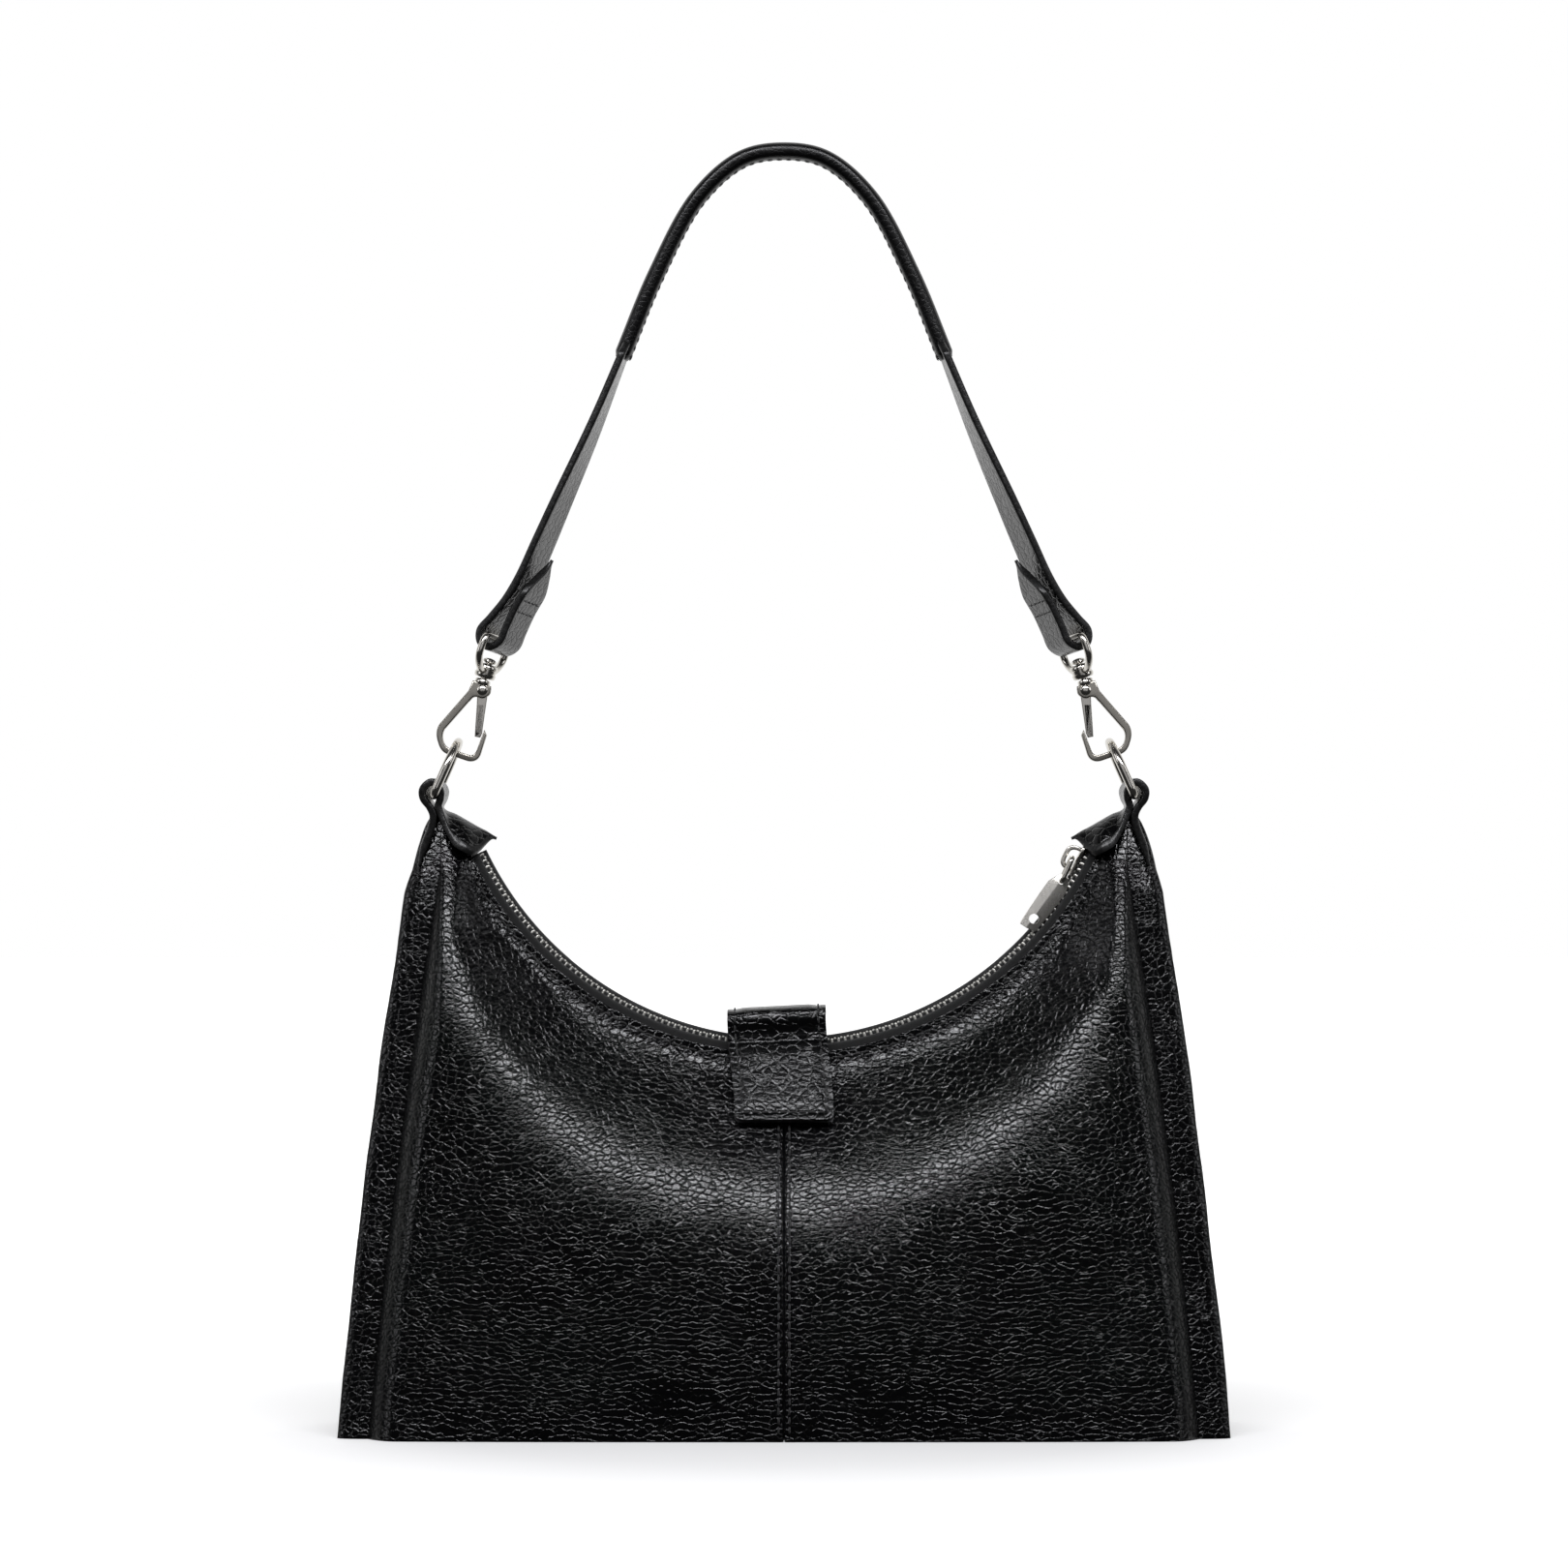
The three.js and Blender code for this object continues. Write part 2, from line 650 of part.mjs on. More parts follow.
function hookOutline() {
  const shape = new THREE.Shape();
  shape.moveTo(-4.5, 21.6);
  shape.lineTo(2.2, 21.6);
  shape.lineTo(2.5, 18);
  shape.lineTo(8.2, 3.9);
  shape.bezierCurveTo(8.9, 1.6, 8, -0.6, 6.6, -2.4);
  shape.bezierCurveTo(5.4, -4.2, 4, -5.2, 2, -5.2);
  shape.lineTo(-4.6, -5.2);
  shape.bezierCurveTo(-7, -5.2, -8.7, -3.8, -8.7, -1.4);
  shape.lineTo(-8.5, 5.6);
  shape.lineTo(-7.1, 7.2);
  shape.lineTo(-6.9, -0.6);
  shape.bezierCurveTo(-6.8, -2.2, -6, -3, -4.6, -3);
  shape.lineTo(2, -3);
  shape.bezierCurveTo(3.4, -3, 4.7, -2, 5.3, -0.8);
  shape.bezierCurveTo(6, 0.4, 6.2, 1.7, 5.8, 2.9);
  shape.lineTo(0.4, 16);
  shape.lineTo(-4.5, 17.4);
  return shape;
}

function hookBodyGeometry() {
  const body = plate(hookOutline(), -HOOK_HALF_THICK, HOOK_HALF_THICK);
  const slotTop = 22.3;
  const slot = box(-6, 1.2, -HOOK_SLOT_HALF, HOOK_SLOT_HALF, 12, slotTop);
  const bore = pinAlongY(RIVET.x, RIVET.y, 1.1, -5, 5);
  const swivel = turned(
    [
      [0, 22.6],
      [2.6, 22.6],
      [2.6, 23.4],
      [1.3, 23.4],
      [1.3, 29.2],
      [2.3, 29.5],
      [2.3, 30.5],
      [0, 30.9],
    ],
    SWIVEL_S,
  );
  const cap = box(-4.5, 2.3, -HOOK_HALF_THICK, HOOK_HALF_THICK, 21.4, 23);
  return join([cut(body, slot, bore), cut(cap, slot), swivel]);
}

function gateGeometry() {
  const outline = new THREE.Shape();
  outline.absarc(RIVET.x, RIVET.y, 2, rad(-20), rad(200), false);
  outline.lineTo(-6.6, 5.4);
  outline.lineTo(-6.5, 3.6);
  outline.lineTo(-4.7, 3.4);
  const bore = new THREE.Path();
  bore.absarc(RIVET.x, RIVET.y, 1.15, 0, 2 * Math.PI);
  outline.holes.push(bore);
  return plate(outline, -1, 0.1);
}

function rivetGeometry() {
  const headHalf = 0.3;
  const reach = HOOK_HALF_THICK + 2 * headHalf;
  const shaft = pinAlongY(RIVET.x, RIVET.y, 0.8, -reach, reach);
  const heads = [-1, 1].map((side) => {
    const y = side * reach;
    return pinAlongY(RIVET.x, RIVET.y, 1.8, y - headHalf, y + headHalf);
  });
  return join([shaft, ...heads]);
}

function gateSpringGeometry() {
  const coil = pinAlongY(RIVET.x, RIVET.y, 1.7, 0.4, 1);
  return cut(coil, pinAlongY(RIVET.x, RIVET.y, 1.15, -5, 5));
}

function eyeGeometry() {
  const yoke = turned([
    [1.6, 23.8],
    [3.2, 23.8],
    [3.6, 24.4],
    [3.6, 28.2],
    [3.1, 28.8],
    [1.6, 28.8],
    [1.6, 23.8],
  ]);
  const halfWidth = 12;
  const path = [
    [2.6, 26.3],
    [6.2, 27],
    [10, 29],
    [halfWidth - 0.1, 31.6],
    [halfWidth, 35.4],
    [halfWidth - 0.6, 37.4],
    [halfWidth - 1.9, EYE_U],
  ];
  const half = new THREE.CatmullRomCurve3(path.map(([y, z]) => new THREE.Vector3(0, y, z)));
  const side = half.getSpacedPoints(10);
  const other = side.map((p) => new THREE.Vector3(0, -p.y, p.z)).reverse();
  const bow = wire([...side, ...other], EYE_WIRE, 8, false);
  return join([cut(bow, box(-2, 2, -1.9, 1.9, 20, 30)), yoke]);
}

// ---------- strap ----------

// Half of the strap's middle line, in x and z, from the handle's top to the pointed tail.
const STRAP_HALF_PATH = [
  [0, 443],
  [14.4, 440.3],
  [29.7, 427],
  [44.4, 400],
  [55.2, 373.7],
  [65.8, 347],
  [77.4, 320.3],
  [83.2, 307],
  [88.8, 294.6],
  [93.8, 286.4],
  [98.9, 280.4],
  [102.7, 276],
  [102.3, 271.8],
  [99, 270.2],
  [95.4, 272],
  [93.2, 276.8],
  [89.8, 284],
  [85, 291.8],
  [79.8, 301],
];

// Turns a point of the strap with its eye, about the hook's axis, more towards the end.
function twistStrap(point) {
  const side = Math.sign(point.x) || 1;
  const share = smooth((TWIST_START_Z - point.z) / (TWIST_START_Z - TWIST_END_Z));
  const axis = new THREE.Vector3(-side * Math.sin(HOOK_LEAN), 0, Math.cos(HOOK_LEAN));
  const foot = new THREE.Vector3(side * (RING_TOP.x + SWIVEL_S * Math.cos(HOOK_LEAN)), 0, 0);
  foot.z = RING_TOP.y + SWIVEL_S * Math.sin(HOOK_LEAN);
  const turn = side * EYE_TWIST * share;
  return point.sub(foot).applyAxisAngle(axis, turn).add(foot);
}

function strapGeometry() {
  const right = STRAP_HALF_PATH.slice(1);
  const left = right.map(([x, z]) => [-x, z]).reverse();
  const path = [...left, STRAP_HALF_PATH[0], ...right];
  const curve = new THREE.CatmullRomCurve3(path.map(([x, z]) => new THREE.Vector3(x, 0, z)));
  const isTail = (t) => Math.min(t, 1 - t) < 0.055;
  const handleShare = (t) => (isTail(t) ? 0 : smooth((curve.getPointAt(t).z - HANDLE_END_Z) / 5));
  const taper = (t) => smooth(Math.min(t, 1 - t) / 0.028);
  const halfWidth = (t) => lerp(lerp(0.8, STRAP_HALF_WIDTH, taper(t)), HANDLE_HALF_WIDTH, handleShare(t));
  const thick = (t) => lerp(STRAP_LEATHER, HANDLE_THICK, handleShare(t));
  const geometry = strip(path, 120, halfWidth, thick);
  const position = geometry.attributes.position;
  const point = new THREE.Vector3();
  for (const i of range(position.count)) {
    twistStrap(point.fromBufferAttribute(position, i));
    position.setXYZ(i, point.x, point.y, point.z);
  }
  return geometry;
}

// ---------- assembly ----------

const bag = new THREE.Group();

function add(name, geometry, material, parent = bag) {
  const mesh = new THREE.Mesh(geometry, material);
  mesh.name = name;
  parent.add(mesh);
  return mesh;
}

// A right and a left copy of one piece. place puts the right one in its frame.
function addPair(name, geometry, material, place = () => new THREE.Group()) {
  for (const [suffix, mirror] of [
    ["right", 1],
    ["left", -1],
  ]) {
    const frame = place();
    const half = new THREE.Group();
    half.scale.x = mirror;
    half.add(frame);
    bag.add(half);
    add(`${name}_${suffix}`, geometry, material, frame);
  }
}

function ringFrame() {
  const frame = new THREE.Group();
  frame.position.set(RING_FOOT.x, 0, RING_FOOT.y);
  frame.rotation.y = -Math.atan2(RING_FOOT.x - RING_TOP.x, RING_TOP.y - RING_FOOT.y);
  return frame;
}

function hookFrame() {
  const frame = new THREE.Group();
  frame.position.set(RING_TOP.x, 0, RING_TOP.y);
  frame.rotation.y = -HOOK_LEAN;
  return frame;
}

function eyeGeometryInPlace() {
  return eyeGeometry().rotateZ(EYE_TWIST).translate(SWIVEL_S, 0, 0);
}

// A frame on the zip's arc at the given angle, with z towards the arc's centre.
function zipFrame(angle) {
  const centre = new THREE.Group();
  centre.position.z = ZIP_CENTRE_Z;
  centre.rotation.y = -angle;
  const onArc = new THREE.Group();
  onArc.position.z = -ZIP_RADIUS;
  centre.add(onArc);
  bag.add(centre);
  return onArc;
}

addPair("rear_panel", panelGeometry(-1), leather);
addPair("front_panel", panelGeometry(1), leather);
addPair("side_gusset", gussetGeometry(), leather);
add("base_panel", slab(baseOutline(0), 0, LEATHER), leather);
add("base_board", slab(baseOutline(4), LEATHER + GAP, LEATHER + GAP + 2), board);
add("lining", liningGeometry(), fabric);

for (const [name, side] of [
  ["rear", -1],
  ["front", 1],
]) {
  add(`zip_tape_${name}`, tapeGeometry(side), fabric);
  add(`zip_teeth_${name}`, teethGeometry(side), nickel);
  const [near, far] = [side * ROW_GAP, side * (ROW_GAP + TOOTH_ROW)];
  const [y0, y1] = [Math.min(near, far), Math.max(near, far)];
  add(`zip_top_stop_${name}`, stopGeometry(y0, y1, ZIP_END + rad(0.2), ZIP_END + rad(1.4)), nickel);
}
const bottomStopHalf = ROW_GAP + TOOTH_ROW;
add(
  "zip_bottom_stop",
  stopGeometry(-bottomStopHalf, bottomStopHalf, -ZIP_END - rad(1.6), -ZIP_END - rad(0.2)),
  nickel,
);

const sliderPlace = zipFrame(SLIDER_REST);
add("zip_slider", sliderGeometry(), nickel, sliderPlace);
const linkPlace = new THREE.Group();
linkPlace.position.z = BRIDGE_BAR_Z;
linkPlace.rotation.y = rad(-3);
sliderPlace.add(linkPlace);
add("zip_link", linkGeometry(), nickel, linkPlace);
const pullPlace = new THREE.Group();
pullPlace.position.x = -LINK_LENGTH;
pullPlace.rotation.y = rad(12);
linkPlace.add(pullPlace);
add("zip_pull", pullGeometry(), nickel, pullPlace);

add("closure_tab_anchor", tabAnchorGeometry(), leather);
add("closure_tab_flap", tabFlapGeometry(), leather);
const snapPlace = snapFrame();
bag.add(snapPlace);
const snapDepth = -STRAP_LEATHER - GAP;
const snapStud = turned([
  [0, snapDepth - 1],
  [6.5, snapDepth - 1],
  [6.5, snapDepth],
  [0, snapDepth],
]);
add("snap_stud", snapStud, nickel, snapPlace);
const snapSocket = turned([
  [0, snapDepth - 2.5],
  [7.5, snapDepth - 2.5],
  [7.5, snapDepth - 1.3],
  [0, snapDepth - 1.3],
]);
add("snap_socket", snapSocket, nickel, snapPlace);

addPair("ring_tab", ringTabGeometry(), leather);
addPair("ring", ringGeometry(), nickel, ringFrame);
addPair("hook_body", hookBodyGeometry(), nickel, hookFrame);
addPair("hook_gate", gateGeometry(), nickel, hookFrame);
addPair("gate_rivet", rivetGeometry(), nickel, hookFrame);
addPair("gate_spring", gateSpringGeometry(), nickel, hookFrame);
addPair("swivel_eye", eyeGeometryInPlace(), nickel, hookFrame);
add("strap", strapGeometry(), leather);

export default bag;
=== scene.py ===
"""Looks of the small leather hobo bag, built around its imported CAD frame. Metres, +Z up."""

import json
import math

import bmesh
import bpy
import numpy as np
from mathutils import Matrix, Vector, noise

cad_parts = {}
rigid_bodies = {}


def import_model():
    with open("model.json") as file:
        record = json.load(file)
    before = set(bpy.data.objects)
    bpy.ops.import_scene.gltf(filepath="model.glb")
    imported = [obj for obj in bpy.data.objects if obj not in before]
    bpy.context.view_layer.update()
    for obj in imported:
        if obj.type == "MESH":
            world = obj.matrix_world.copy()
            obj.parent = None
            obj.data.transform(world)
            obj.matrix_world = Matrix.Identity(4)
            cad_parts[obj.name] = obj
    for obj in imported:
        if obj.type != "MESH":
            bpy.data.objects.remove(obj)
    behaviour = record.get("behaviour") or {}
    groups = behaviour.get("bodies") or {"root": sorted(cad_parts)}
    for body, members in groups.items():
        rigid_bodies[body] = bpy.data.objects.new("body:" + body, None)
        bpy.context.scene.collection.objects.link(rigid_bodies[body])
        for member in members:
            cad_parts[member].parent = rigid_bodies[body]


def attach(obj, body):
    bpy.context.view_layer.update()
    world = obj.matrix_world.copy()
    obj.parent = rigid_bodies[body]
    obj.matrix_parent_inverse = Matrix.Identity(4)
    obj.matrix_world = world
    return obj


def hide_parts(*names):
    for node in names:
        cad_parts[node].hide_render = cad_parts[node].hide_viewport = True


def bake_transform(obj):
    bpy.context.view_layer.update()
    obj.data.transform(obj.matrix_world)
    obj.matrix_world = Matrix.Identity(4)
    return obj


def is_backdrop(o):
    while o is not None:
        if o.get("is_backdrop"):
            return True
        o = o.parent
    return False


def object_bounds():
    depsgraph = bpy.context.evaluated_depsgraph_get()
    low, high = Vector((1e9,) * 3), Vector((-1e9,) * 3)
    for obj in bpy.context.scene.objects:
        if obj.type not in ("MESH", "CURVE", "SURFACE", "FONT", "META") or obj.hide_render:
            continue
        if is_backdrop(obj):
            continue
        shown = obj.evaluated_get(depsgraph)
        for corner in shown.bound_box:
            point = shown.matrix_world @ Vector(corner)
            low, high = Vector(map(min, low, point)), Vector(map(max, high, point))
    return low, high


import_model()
cad_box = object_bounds()

MM = 0.001  # the shapes below are worked out in millimetres


# ---------- shape of the bag, in millimetres ----------

BASE_HALF_WIDTH = 142.0  # seam of panel and gusset at the base
SIDE_SLOPE = 0.0809  # how fast the side seam leans in at the base
SIDE_CURVE = 0.000198  # how fast that lean grows with height
WING = 9.5  # how far the gusset stands outside the seam
CORNER_Z = 214.0  # top of the panels, under the ring tabs
UPRIGHT_Z = 194.0  # above this the side seam is upright
SHOULDER_Z = 186.0  # above this the gusset's wing narrows
BASE_DEPTH = 44.0  # half depths: at the base, at its sides, at the mouth and at the top corners
SIDE_BASE_DEPTH = 41.0
MOUTH_DEPTH = 7.0
CORNER_DEPTH = 4.0
RIDGE_RISE = 36.0  # how far the panel swells below the mouth
RIDGE_REACH = 40.0  # how far below the mouth most of that swelling is done
RIDGE_SHARPNESS = 1.6
SIDE_FADE = 0.96  # the swelling's share left at the side seams is the root of 1 - SIDE_FADE
EDGE_ROLL = 8.0  # how far a panel turns in at its side seam, at the base
ROLL_SHARE = 0.07  # share of the panel's width that turns in
CENTRE_GAP = 0.15  # half the gap between the two halves of a panel
LEATHER = 2.4  # thickness of the panels and gussets

ZIP_CENTRE_Z = 250.0
ZIP_RADIUS = 117.0
ZIP_END = math.radians(64.6)
SLIDER_REST = math.radians(62.5)
MOUTH_RADIUS = ZIP_RADIUS + 2.5
MOUTH_LOWEST_Z = ZIP_CENTRE_Z - MOUTH_RADIUS

STRAP_LEATHER = 2.6  # thickness of the strap and the tabs
STITCH_INSET = 2.6  # from an edge to its topstitch
STITCH_PITCH = 3.2
STITCH_LENGTH = 2.5
THREAD = 0.36  # radius of the sewing thread
STITCH_STEPS = 8  # points of the stitched line for each stitch
STITCH_ARCH = np.array([-0.3, 0.55, 0.85, 0.85, 0.55, -0.3])  # height along a stitch, in thread radii
STITCH_TAPER = np.array([0.5, 0.95, 1, 1, 0.95, 0.5])  # thickness along a stitch
THREAD_SIDES = 6


def lerp(a, b, t):
    return a + (b - a) * t


def smooth(t):
    """An eased step from 0 at t = 0 to 1 at t = 1."""
    c = np.clip(t, 0.0, 1.0)
    return c * c * (3 - 2 * c)


# ---------- materials ----------

class Nodes:
    """A material's node tree, with short calls for the nodes that the materials here share."""

    def __init__(self, name):
        self.material = bpy.data.materials.new(name)
        self.material.use_nodes = True
        self.tree = self.material.node_tree
        self.shader = self.tree.nodes["Principled BSDF"]
        self.place = self.tree.nodes.new("ShaderNodeTexCoord").outputs["Object"]

    def add(self, kind, inputs=None, **settings):
        node = self.tree.nodes.new(kind)
        for key, value in settings.items():
            setattr(node, key, value)
        self.fill(node, inputs or {})
        return node

    def fill(self, node, inputs):
        """Links each input that is a socket, and sets the others."""
        for key, value in inputs.items():
            if isinstance(value, bpy.types.NodeSocket):
                self.tree.links.new(value, node.inputs[key])
            else:
                node.inputs[key].default_value = value

    def scaled(self, x, y, z):
        return self.add("ShaderNodeMapping", {"Vector": self.place, "Scale": (x, y, z)}).outputs[0]

    def maths(self, operation, a, b=0.0, c=0.0):
        return self.add("ShaderNodeMath", {0: a, 1: b, 2: c}, operation=operation).outputs[0]

    def remap(self, value, low, high, to_low=0.0, to_high=1.0):
        inputs = {"Value": value, "From Min": low, "From Max": high, "To Min": to_low, "To Max": to_high}
        return self.add("ShaderNodeMapRange", inputs).outputs["Result"]

    def noise(self, vector, scale, detail=2.0):
        inputs = {"Vector": vector, "Scale": scale, "Detail": detail}
        return self.add("ShaderNodeTexNoise", inputs).outputs["Fac"]

    def mix(self, factor, a, b):
        """A blend of two colours. Sockets 0, 6 and 7 are a colour mix's factor and its two colours."""
        return self.add("ShaderNodeMix", {0: factor, 6: a, 7: b}, data_type="RGBA").outputs[2]

    def vector(self, operation, a, b):
        return self.add("ShaderNodeVectorMath", {0: a, 1: b}, operation=operation).outputs[0]

    def bump(self, height, distance):
        inputs = {"Height": height, "Distance": distance, "Strength": 1.0}
        return self.add("ShaderNodeBump", inputs).outputs[0]

    def finish(self, **sockets):
        """Puts values on the shader's own sockets, whose names have spaces for the underscores here."""
        self.fill(self.shader, {key.replace("_", " "): value for key, value in sockets.items()})
        return self.material


def grey(value, tint=0.0):
    return (value, value, value * (1 + tint), 1.0)


# Relief of the pebbled leather. The crease widths are in cells.
# CREASE, DOME, FINE and ROLL are shares of the relief.
CREASE_WIDTH = 0.12
FINE_CREASE_WIDTH = 0.15
CREASE = 0.45  # depth of the creases between the pebbles
DOME = 0.3  # rise of a pebble's middle
FINE = 0.08  # depth of the fine creases on the pebbles
ROLL = 0.1  # unevenness wider than a pebble
FINE_CELL = 0.45  # size of a fine cell, in pebbles
DRAWN_OUT = (0.88, 1.0, 1.2)  # the pebbles are wider than they are high
IRREGULARITY = 0.8  # of the cells: 0 would be a grid
CELL_MIDDLE = 0.45  # about how far a cell's middle is from its edges, in cells
BENDS = ((26.0, 0.010), (150.0, 0.0016), (700.0, 0.0005))  # scale and reach of what bends their rows

# How fine the other patterns are, per metre.
SWELL_SCALE = 60.0
RIPPLE_SCALE = 900.0
TWIST_SCALE = 1900.0
HAZE_SCALE = 180.0
POLISH_SCALE = 1500.0
FUZZ_SCALE = 3000.0
FLECK_SCALE = 400.0


def bent_place(n):
    """The place on the leather, shifted about by noises of several sizes so that its cells don't line up."""
    bent = n.place
    for scale, reach in BENDS:
        wobble = n.add("ShaderNodeTexNoise", {"Vector": n.place, "Scale": scale, "Detail": 1.0})
        centred = n.vector("SUBTRACT", wobble.outputs["Color"], (0.5, 0.5, 0.5))
        drift = n.add("ShaderNodeVectorMath", {0: centred, "Scale": reach}, operation="SCALE").outputs[0]
        bent = n.vector("ADD", bent, drift)
    return n.add("ShaderNodeMapping", {"Vector": bent, "Scale": DRAWN_OUT}).outputs[0]


def cell_edges(n, place, size, crease_width):
    """Cells of a size: the distance from their edges, and 0 in a crease to 1 on the cell beside it."""
    cells = {"Vector": place, "Scale": 1.0 / size, "Randomness": IRREGULARITY}
    edge = n.add("ShaderNodeTexVoronoi", cells, feature="DISTANCE_TO_EDGE").outputs["Distance"]
    ramp = {"Value": edge, "From Min": 0.0, "From Max": crease_width}
    return edge, n.add("ShaderNodeMapRange", ramp, interpolation_type="SMOOTHSTEP").outputs["Result"]


def pebbled_leather(name, cell, relief, colour=0.0013, roughness=0.14):
    """Black leather: domed pebbles between narrow creases. cell and relief are in metres."""
    n = Nodes(name)
    place = bent_place(n)
    edge, crease = cell_edges(n, place, cell, CREASE_WIDTH)
    _, fine_crease = cell_edges(n, place, cell * FINE_CELL, FINE_CREASE_WIDTH)
    share = n.remap(edge, 0.0, CELL_MIDDLE)
    dome = n.maths("MULTIPLY", share, n.maths("SUBTRACT", 2.0, share))
    swell = n.noise(n.place, SWELL_SCALE, 2.0)
    depth = n.remap(swell, 0.3, 0.7, 0.75, 1.0)
    height = n.maths("MULTIPLY", dome, DOME)
    height = n.maths("MULTIPLY_ADD", crease, CREASE, height)
    height = n.maths("MULTIPLY_ADD", fine_crease, FINE, height)
    height = n.maths("MULTIPLY", height, depth)
    height = n.maths("MULTIPLY_ADD", n.noise(n.place, 0.8 / cell, 1.0), ROLL, height)
    haze = n.remap(swell, 0.3, 0.75, roughness + 0.06, roughness + 0.12)
    # Painted shade: the base colour is darker in the creases (0.4 of it) than on the pebbles.
    return n.finish(
        Base_Color=n.mix(crease, grey(colour * 0.4), grey(colour, 0.3)),
        Roughness=n.maths("MULTIPLY_ADD", crease, -0.08, haze),
        Specular_IOR_Level=0.5,
        Normal=n.bump(height, relief),
    )


def edge_paint():
    """The lacquer on cut leather edges: smooth, with faint sanding ripples."""
    n = Nodes("edge_paint")
    ripple = n.noise(n.place, RIPPLE_SCALE, 2.0)
    shade = n.mix(ripple, grey(0.006), grey(0.011))
    return n.finish(
        Base_Color=shade,
        Roughness=n.remap(ripple, 0.3, 0.7, 0.26, 0.4),
        Normal=n.bump(ripple, 0.00008),
    )


def thread_material():
    """Twisted black sewing thread."""
    n = Nodes("thread")
    wave = {"Vector": n.place, "Scale": TWIST_SCALE, "Distortion": 1.5}
    twist = n.add("ShaderNodeTexWave", wave).outputs["Fac"]
    # Painted shade: the thread's colour is darker in the grooves of its twist than on its crests.
    shade = n.mix(twist, grey(0.008), grey(0.03))
    return n.finish(Base_Color=shade, Roughness=0.55, Sheen_Weight=0.25, Normal=n.bump(twist, 0.00008))


def polished_metal(name, colour, roughness, brush=(1, 1, 1), scratch=0.00002):
    """Plated metal with a faint haze of handling marks and drawn-out polishing lines."""
    n = Nodes(name)
    haze = n.noise(n.place, HAZE_SCALE, 4.0)
    lines = n.noise(n.scaled(*brush), POLISH_SCALE, 2.0)
    rough = n.maths("MULTIPLY_ADD", haze, 0.1, roughness - 0.03)
    shade = n.mix(n.remap(haze, 0.3, 0.8), (*colour, 1.0), (*[c * 0.86 for c in colour], 1.0))
    return n.finish(
        Base_Color=shade,
        Metallic=1.0,
        Roughness=rough,
        Normal=n.bump(lines, scratch),
    )


def woven(name, colour, thread_scale, lift):
    """A plain weave of two crossing sets of threads."""
    n = Nodes(name)
    warp = n.add("ShaderNodeTexWave", {"Vector": n.place, "Scale": thread_scale}, bands_direction="X")
    weft = n.add("ShaderNodeTexWave", {"Vector": n.place, "Scale": thread_scale}, bands_direction="Z")
    over = n.maths("MULTIPLY", warp.outputs["Fac"], weft.outputs["Fac"])
    fuzz = n.noise(n.place, FUZZ_SCALE, 2.0)
    height = n.maths("MULTIPLY_ADD", fuzz, 0.3, over)
    # Painted shade: the base colour is darker (0.45 of it) in the hollows where the threads go under.
    shade = n.mix(over, grey(colour * 0.45), grey(colour))
    return n.finish(Base_Color=shade, Roughness=0.85, Sheen_Weight=0.2, Normal=n.bump(height, lift))


def fibre_board():
    """Pale pressed board with drawn-out flecks."""
    n = Nodes("fibre_board")
    flecks = n.noise(n.scaled(1, 4, 1), FLECK_SCALE, 5.0)
    shade = n.mix(flecks, (0.2, 0.17, 0.12, 1), (0.42, 0.37, 0.28, 1))
    return n.finish(Base_Color=shade, Roughness=0.9, Normal=n.bump(flecks, 0.0001))


BODY_LEATHER = pebbled_leather("body_leather", 0.0024, 0.0002)
STRAP_LEATHER_LOOK = pebbled_leather("strap_leather", 0.0032, 0.0002, roughness=0.19)
HANDLE_LEATHER = pebbled_leather("handle_leather", 0.0022, 0.00005, roughness=0.3)
EDGE = edge_paint()
SEWING = thread_material()
NICKEL = polished_metal("nickel", (0.80, 0.77, 0.71), 0.17)
SATIN_NICKEL = polished_metal("satin_nickel", (0.88, 0.85, 0.79), 0.26, brush=(1, 1, 0.08), scratch=0.00005)
HOOK_NICKEL = polished_metal("hook_nickel", (0.5, 0.475, 0.425), 0.24, brush=(1, 1, 0.08), scratch=0.00004)
TOOTH_METAL = polished_metal("tooth_metal", (0.6, 0.59, 0.55), 0.28)
STEEL = polished_metal("spring_steel", (0.55, 0.55, 0.56), 0.35)
TAPE = woven("zip_tape", 0.02, 1400.0, 0.00015)
LINING = woven("lining_cloth", 0.05, 1100.0, 0.00012)
BOARD = fibre_board()


# ---------- mesh helpers ----------

MERGE = 1e-6  # metres: closer points are doubles
CURVE_STEPS = 24  # points worked out between two points that a curve goes through


def add_mesh(name, points, faces, material, edge_material=None, scale=MM):
    """A smooth-shaded mesh object from points in millimetres."""
    mesh = bpy.data.meshes.new(name)
    mesh.from_pydata([tuple(p) for p in np.asarray(points, float) * scale], [], faces)
    mesh.validate()
    mesh.materials.append(material)
    if edge_material is not None:
        mesh.materials.append(edge_material)
    mesh.shade_smooth()
    obj = bpy.data.objects.new(name, mesh)
    bpy.context.scene.collection.objects.link(obj)
    return obj


def face_out(obj, merge_within=None):
    """Turns the faces of a closed mesh to point outwards, after merging doubled points if asked."""
    bm = bmesh.new()
    bm.from_mesh(obj.data)
    if merge_within is not None:
        bmesh.ops.remove_doubles(bm, verts=bm.verts, dist=merge_within)
    bmesh.ops.recalc_face_normals(bm, faces=bm.faces)
    bm.to_mesh(obj.data)
    bm.free()
    return obj


def bake_modifiers(obj):
    """Replaces the mesh by what its modifiers make of it."""
    bpy.context.view_layer.update()
    evaluated = obj.evaluated_get(bpy.context.evaluated_depsgraph_get())
    mesh = bpy.data.meshes.new_from_object(evaluated)
    obj.modifiers.clear()
    obj.data = mesh
    return obj


def thicken(obj, thickness, rim_material=0):
    """Gives a sheet thickness behind its face."""
    solid = obj.modifiers.new("thickness", "SOLIDIFY")
    solid.thickness = thickness * MM
    solid.offset = -1
    solid.material_offset_rim = rim_material


